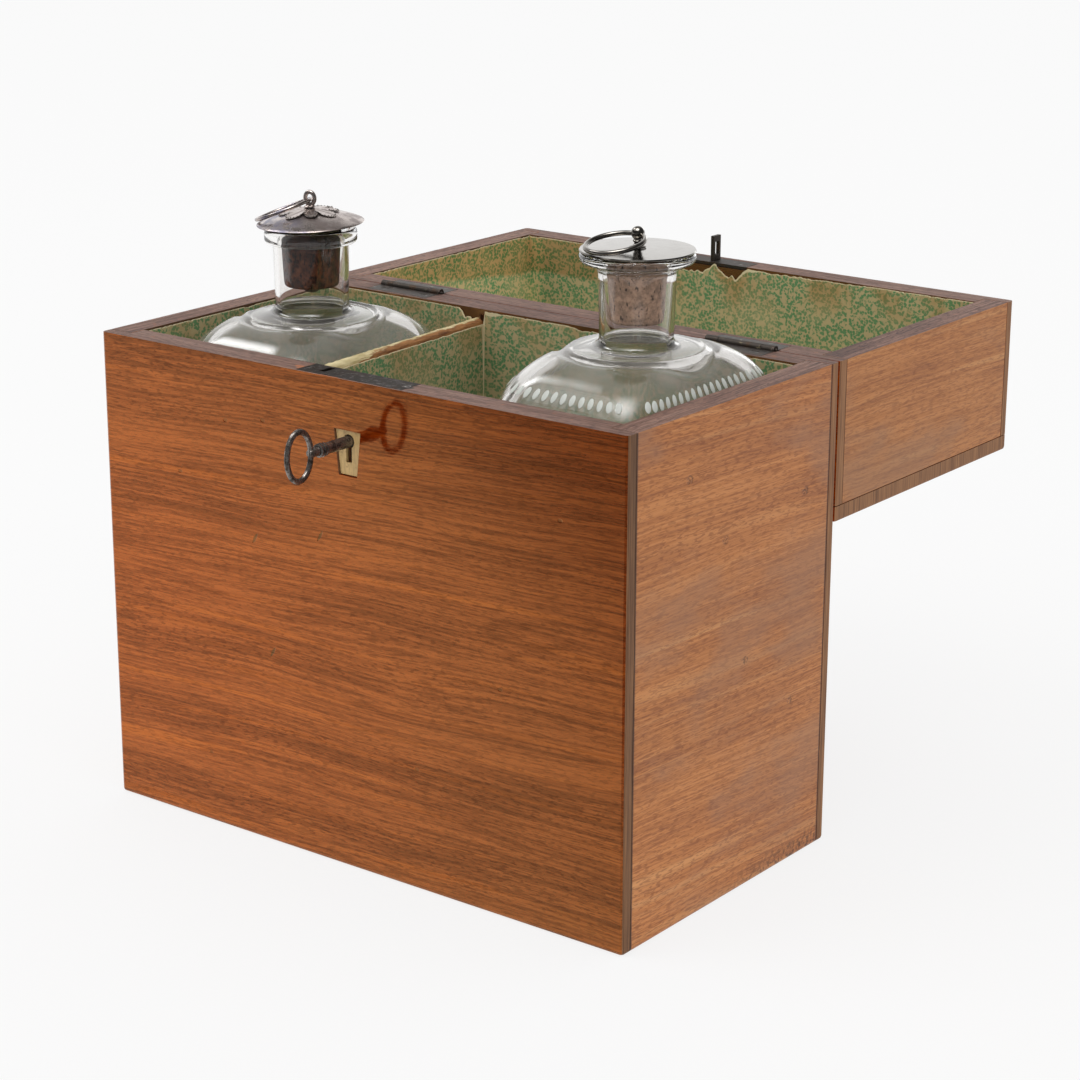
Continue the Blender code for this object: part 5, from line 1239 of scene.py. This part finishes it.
class LIQUORCASE_OT_hinges(bpy.types.Operator):
    """Give hinges and screws their metals"""
    bl_idname = "liquorcase.hinges"
    bl_label = "Hinges"
    bl_options = {'REGISTER', 'UNDO'}

    def execute(self, context):
        c = context.scene.case_colours
        leaf = iron_finish(c, "hinge_iron", c.iron_worn, (0.56, 0.74))
        rubbed = iron_finish(c, "hinge_knuckle", c.brass, (0.58, 0.76), 0.38)
        screw = iron_finish(c, "screw_iron", c.iron_worn, (0.52, 0.70))
        for side in ("left", "right"):
            finish_nodes(leaf, side+"_hinge_body_leaf")
            finish_nodes(rubbed, side+"_hinge_lid_leaf", side+"_hinge_pin")
            for part in ("body", "lid"):
                for number in ("1", "2"):
                    finish_nodes(screw, side+"_hinge_"+part+"_screw_"+number)
        finish_nodes(screw, "lock_screw_1", "lock_screw_2", "link_screw_1", "link_screw_2")
        return {'FINISHED'}


class LIQUORCASE_OT_lock(bpy.types.Operator):
    """Give lock, staple and escutcheon their finishes"""
    bl_idname = "liquorcase.lock"
    bl_label = "Lock"
    bl_options = {'REGISTER', 'UNDO'}

    def execute(self, context):
        c = context.scene.case_colours
        finish_nodes(iron_finish(c, "lock_iron", c.lock_worn, (0.46, 0.72), 0.56, 0.52),
                     "lock_plate", "lock_case", "lock_bolt")
        finish_nodes(iron_finish(c, "spring_brass", c.brass, (0.30, 0.50), 0.34), "bolt_spring")
        finish_nodes(iron_finish(c, "link_iron", c.iron_worn, (0.62, 0.80), 0.44), "link_plate")
        finish_nodes(bone_finish(c), "escutcheon")
        return {'FINISHED'}


class LIQUORCASE_OT_key(bpy.types.Operator):
    """Make the key with its turned shank, oval bow and bit"""
    bl_idname = "liquorcase.key"
    bl_label = "Key"
    bl_options = {'REGISTER', 'UNDO'}

    def execute(self, context):
        c, s = context.scene.case_colours, context.scene.case_sizes
        low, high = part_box("key")
        start = s.bow_length-1.6*s.bow_wire
        end = high.y-low.y
        collar = s.key_reach-13.0*MM
        bore = 1.1*MM
        profile = [(s.key_neck*0.75, start-0.3*MM), (s.key_neck, start+0.5*MM),
                   (s.key_neck*0.94, collar-2.2*MM)]
        for number in range(3):
            foot = collar+(number-1.4)*1.35*MM
            tall = 0.42*MM if number == 1 else 0.30*MM
            profile += [(s.key_neck*1.04, foot-0.62*MM), (s.key_barrel+tall, foot-0.32*MM),
                        (s.key_barrel+tall*1.1, foot), (s.key_barrel+tall, foot+0.32*MM),
                        (s.key_barrel*0.94, foot+0.62*MM)]
        profile += [(s.key_barrel*0.97, collar+3.2*MM), (s.key_barrel, collar+5*MM), (s.key_barrel, end),
                    (bore, end), (bore, end-4.5*MM)]
        shank = turned(profile, 48)
        bow = torus(s.bow_length/2-s.bow_wire, s.bow_height/2-s.bow_wire, s.bow_wire, 96, 20)
        for v in bow.verts:
            v.co.z *= 0.86
        bow = move(bow, Matrix.Translation((0, 0, s.bow_length/2)) @ Matrix.Rotation(-math.pi/2, 4, 'Y'))
        bit = bmesh.new()
        bmesh.ops.create_cube(bit, size=1.0, matrix=Matrix.Translation((0, 4.5*MM, end-2.1*MM))
                              @ Matrix.Diagonal((1.8*MM, 5.6*MM, 3.6*MM, 1)))
        lay = Matrix.Translation((KEY_AXIS.x, low.y, KEY_AXIS.z)) @ Matrix.Rotation(-math.pi/2, 4, 'X')
        steel = iron_finish(c, "key_steel", c.key_worn, (0.34, 0.62), 0.34)
        add_piece("key_turned", move(join(shank, bow, bit), lay), "key", steel, ("key",))
        return {'FINISHED'}


class LIQUORCASE_OT_bottles(bpy.types.Operator):
    """Blow the two bottles, with pressed rings, lips and the cut ovals of the right one"""
    bl_idname = "liquorcase.bottles"
    bl_label = "Bottles"
    bl_options = {'REGISTER', 'UNDO'}

    def execute(self, context):
        c, s = context.scene.case_colours, context.scene.case_sizes
        collar = ((0, 0), (0.45, 0.02), (0.80, 0.08), (0.95, 0.18), (1, 0.32), (1, 0.55), (0.97, 0.76),
                  (0.86, 0.92), (0.70, 1), (0.45, 1))
        flare = ((0, 0), (0.03, 0.12), (0.12, 0.26), (0.34, 0.40), (0.66, 0.50), (0.90, 0.60), (0.985, 0.72),
                 (1, 0.84), (0.97, 0.95), (0.90, 1))
        left = BottleForm("left_bottle", LEFT_EYE, s, edge=RIM-21.0*MM, ridge=RIM+3.0*MM, ridge_radius=16.5*MM,
                          neck=13.8*MM, lip_radius=17.5*MM, lip_rise=5.7*MM, lip=collar, disc=(23.8*MM, 0.26),
                          rings=((23.6*MM, 0.9*MM, 0.25*MM), (27.2*MM, 1.6*MM, -0.85*MM)))
        right = BottleForm("right_bottle", RIGHT_EYE, s, edge=RIM-13.0*MM, ridge=RIM+10.8*MM,
                           ridge_radius=16.0*MM, neck=13.0*MM, lip_radius=s.cap_radius, lip_rise=7.2*MM,
                           lip=flare, disc=(23.6*MM, 0.12),
                           rings=((23.4*MM, 0.9*MM, 0.25*MM), (26.8*MM, 1.7*MM, -0.95*MM)))
        add_piece("left_bottle_glass", left.mesh(), "left_bottle",
                  glass_finish(c, "left_old_glass", left.edge, left.ridge), ("left_bottle",))
        add_piece("right_bottle_glass", right.mesh(), "right_bottle",
                  glass_finish(c, "right_old_glass", right.edge, right.ridge), ("right_bottle",))
        add_piece("right_bottle_ovals", cut_ovals(right, s), "right_bottle", frost_finish(c))
        return {'FINISHED'}


class LIQUORCASE_OT_left_stopper(bpy.types.Operator):
    """Make the left stopper: dark cork, domed cap, leaf rosette, eye, nut and ring"""
    bl_idname = "liquorcase.left_stopper"
    bl_label = "Left stopper"
    bl_options = {'REGISTER', 'UNDO'}

    def execute(self, context):
        c, s = context.scene.case_colours, context.scene.case_sizes
        cork_low, cork_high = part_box("left_cork")
        cap_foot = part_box("left_cap")[0].z
        wide = (cork_high.x-cork_low.x)/2+s.cork_swell
        tilt = askew(LEFT_EYE, cork_high.z, s.stopper_tilt, context.scene.case_studio.yaw)
        silver = tarnish_finish(c, "cap_tarnish_painted_reflection", 0.44, 0.72, 0.24)
        leaf = tarnish_finish(c, "rosette_tarnish_painted_reflection", 0.60, 0.90, 0.30)

        def add(name, bm, slot, material, *replaced):
            add_piece(name, bm, "left_stopper", material, replaced)
        cork = cork_mesh(LEFT_EYE, cork_high.z, cork_low.z, wide, s, STUD_HOLE)
        # Painted shade under the cap: the cork darkens to a tenth towards its top.
        skin = cork_finish("dark_cork_painted_shade", c.cork_dark, (0.006, 0.003, 0.002), 0.54,
                           cork_high.z-13*MM, cork_high.z-2*MM, 0.10)
        add("left_cork_turned", cork, "dark_cork", skin, "left_cork")
        cap = cap_mesh(LEFT_EYE, cap_foot, s.left_cap_edge, s.left_cap_dome, s.cap_radius, STUD_HOLE)
        add("left_cap_dome", move(cap, tilt), "tarnished_silver", silver, "left_cap")
        leaves, beads = rosette_mesh(LEFT_EYE, cap_foot, s, STUD_HOLE)
        add("left_rosette_leaves", move(leaves, tilt), "tarnished_silver", leaf, "left_rosette")
        add("left_rosette_beads", move(beads, tilt), "tarnished_silver", silver_finish(c, "bead_silver"))
        stud_low, stud_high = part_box("left_ring_stud")
        wire = 0.8*MM
        base = cap_foot+s.left_cap_edge+s.left_cap_dome+1.2*MM
        middle = stud_high.z-2.5*MM-wire
        top = middle-2.4*MM
        profile = [(0.7*MM, stud_low.z), (1.1*MM, stud_low.z+0.4*MM), (1.1*MM, base), (2.2*MM, base),
                   (2.15*MM, base+0.3*MM), (1.8*MM, base+0.6*MM), (1.1*MM, base+0.85*MM), (0.75*MM, top)]
        stud = move(turned(profile, 40), on_axis(LEFT_EYE))
        upright = Matrix.Rotation(s.left_ring_heading, 4, 'Z') @ Matrix.Rotation(math.pi/2, 4, 'X')
        eye = move(torus(1.85*MM, 2.35*MM, wire, 56, 16),
                   Matrix.Translation((LEFT_EYE.x, LEFT_EYE.y, middle)) @ upright)
        back = LEFT_EYE-tilt @ LEFT_EYE
        bent = join(stud, eye)
        for v in bent.verts:
            v.co = tilt @ v.co+back*max(0.0, min(1.0, (v.co.z-base)/(top-base)))
        add("left_ring_eye", bent, "tarnished_silver", leaf, "left_ring_stud")
        nut_low, nut_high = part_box("left_stud_nut")
        nut = turned([(STUD_HOLE, nut_low.z), (1.9*MM, nut_low.z), (2.8*MM, nut_low.z+0.6*MM),
                      (3.2*MM, nut_low.z+1.3*MM), (3.2*MM, nut_high.z), (STUD_HOLE, nut_high.z)],
                     32, ring=True)
        iron = iron_finish(c, "nut_iron", c.iron_worn, (0.7, 0.9))
        add("left_nut", move(nut, on_axis(LEFT_EYE)), "dark_iron", iron, "left_stud_nut")
        ring = ring_mesh(LEFT_EYE, s.left_ring_radius, s.left_ring_wire, s.left_ring_lean, s.left_ring_heading)
        wire_finish = tarnish_finish(c, "ring_tarnish_painted_reflection", 0.48, 0.76, 0.22)
        ring = move(ring, Matrix.Translation(back) @ tilt)
        add_piece("left_ring_wire", ring, "left_ring", wire_finish, ("left_ring",))
        return {'FINISHED'}


class LIQUORCASE_OT_right_stopper(bpy.types.Operator):
    """Make the right stopper: pale cork, flat bright cap, ball finial and ring"""
    bl_idname = "liquorcase.right_stopper"
    bl_label = "Right stopper"
    bl_options = {'REGISTER', 'UNDO'}

    def execute(self, context):
        c, s = context.scene.case_colours, context.scene.case_sizes
        cork_low, cork_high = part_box("right_cork")
        cap_low, cap_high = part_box("right_cap")
        wide = (cork_high.x-cork_low.x)/2+s.cork_swell
        silver = silver_finish(c, "bright_silver_worn")
        cork = cork_mesh(RIGHT_EYE, cork_high.z, cork_low.z, wide, s, STUD_HOLE)
        # Painted shade under the cap: the cork darkens by about half towards its top.
        skin = cork_finish("pale_cork_painted_shade", c.cork_pale, (0.026, 0.013, 0.009), 0.585,
                           cork_high.z-9*MM, cork_high.z-1*MM, 0.55, 0.62)
        add_piece("right_cork_turned", cork, "right_stopper", skin, ("right_cork",))
        dome = cap_high.z-cap_low.z-s.right_cap_edge
        cap = cap_mesh(RIGHT_EYE, cap_low.z, s.right_cap_edge, dome, s.cap_radius, STUD_HOLE)
        add_piece("right_cap_disc", cap, "right_stopper", silver, ("right_cap",))
        low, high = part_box("right_finial")
        base = cap_high.z+0.3*MM
        ball = 2.4*MM
        middle = high.z-ball
        profile = [(0.7*MM, low.z), (1.1*MM, low.z+0.5*MM), (1.1*MM, base), (3.0*MM, base),
                   (2.95*MM, base+0.25*MM)]
        profile += smooth_curve([(2.6*MM, base+0.45*MM), (1.5*MM, base+0.85*MM), (1.25*MM, base+1.35*MM),
                                 (1.65*MM, base+1.85*MM), (1.75*MM, base+2.15*MM), (1.5*MM, base+2.45*MM)], 3)
        profile += [(ball*math.cos(a), middle+ball*math.sin(a))
                    for a in (math.radians(-52+140*k/20) for k in range(21))]
        finial = move(turned(profile, 48), on_axis(RIGHT_EYE))
        add_piece("right_finial_turned", finial, "right_stopper", silver, ("right_finial",))
        ring = ring_mesh(RIGHT_EYE, s.right_ring_radius, s.right_ring_wire, s.right_ring_lean,
                         s.right_ring_heading)
        add_piece("right_ring_wire", ring, "right_ring", silver, ("right_ring",))
        return {'FINISHED'}


class LIQUORCASE_OT_stage(bpy.types.Operator):
    """Set the floor, the white surroundings, the soft lamp and the camera"""
    bl_idname = "liquorcase.stage"
    bl_label = "Studio"
    bl_options = {'REGISTER', 'UNDO'}

    def execute(self, context):
        scene, studio = context.scene, context.scene.case_studio
        scene.view_settings.view_transform = 'Standard'
        add_floor(scene, studio)
        add_surroundings(scene, studio)
        add_lamp(scene, studio)
        add_panel(scene, "left_panel", 185, 46, 0.75, 1.10, studio.left_panel)
        add_panel(scene, "back_panel", 132, 17, 2.60, 1.50, studio.back_panel)
        add_panel(scene, "top_panel", -66, 68, 2.20, 2.00, studio.top_panel)
        add_panel(scene, "right_panel", 101, 8, 1.10, 0.80, studio.right_panel)
        add_camera(scene, studio)
        return {'FINISHED'}


OPERATORS = (LIQUORCASE_OT_boards, LIQUORCASE_OT_linings, LIQUORCASE_OT_partition, LIQUORCASE_OT_hinges,
             LIQUORCASE_OT_lock, LIQUORCASE_OT_key, LIQUORCASE_OT_bottles, LIQUORCASE_OT_left_stopper,
             LIQUORCASE_OT_right_stopper, LIQUORCASE_OT_stage)


class LIQUORCASE_PT_panel(bpy.types.Panel):
    """Lists the pieces of the liquor case and their settings"""
    bl_idname = "LIQUORCASE_PT_panel"
    bl_label = "Liquor case"
    bl_space_type = 'VIEW_3D'
    bl_region_type = 'UI'
    bl_category = "Liquor case"

    def draw(self, context):
        for operator in OPERATORS:
            self.layout.operator(operator.bl_idname)
        for group in (context.scene.case_colours, context.scene.case_sizes, context.scene.case_studio):
            column = self.layout.column()
            for name in group.bl_rna.properties.keys():
                if name not in ("rna_type", "name"):
                    column.prop(group, name)


CLASSES = (CaseColours, CaseSizes, CaseStudio, *OPERATORS, LIQUORCASE_PT_panel)


def register():
    for item in CLASSES:
        bpy.utils.register_class(item)
    bpy.types.Scene.case_colours = PointerProperty(type=CaseColours)
    bpy.types.Scene.case_sizes = PointerProperty(type=CaseSizes)
    bpy.types.Scene.case_studio = PointerProperty(type=CaseStudio)


def unregister():
    for name in ("case_colours", "case_sizes", "case_studio"):
        delattr(bpy.types.Scene, name)
    for item in reversed(CLASSES):
        bpy.utils.unregister_class(item)


def main():
    register()
    bpy.ops.liquorcase.boards()
    bpy.ops.liquorcase.linings()
    bpy.ops.liquorcase.partition()
    bpy.ops.liquorcase.hinges()
    bpy.ops.liquorcase.lock()
    bpy.ops.liquorcase.key()
    bpy.ops.liquorcase.bottles()
    bpy.ops.liquorcase.left_stopper()
    bpy.ops.liquorcase.right_stopper()
    bpy.ops.liquorcase.stage()


if __name__ == "__main__":
    main()
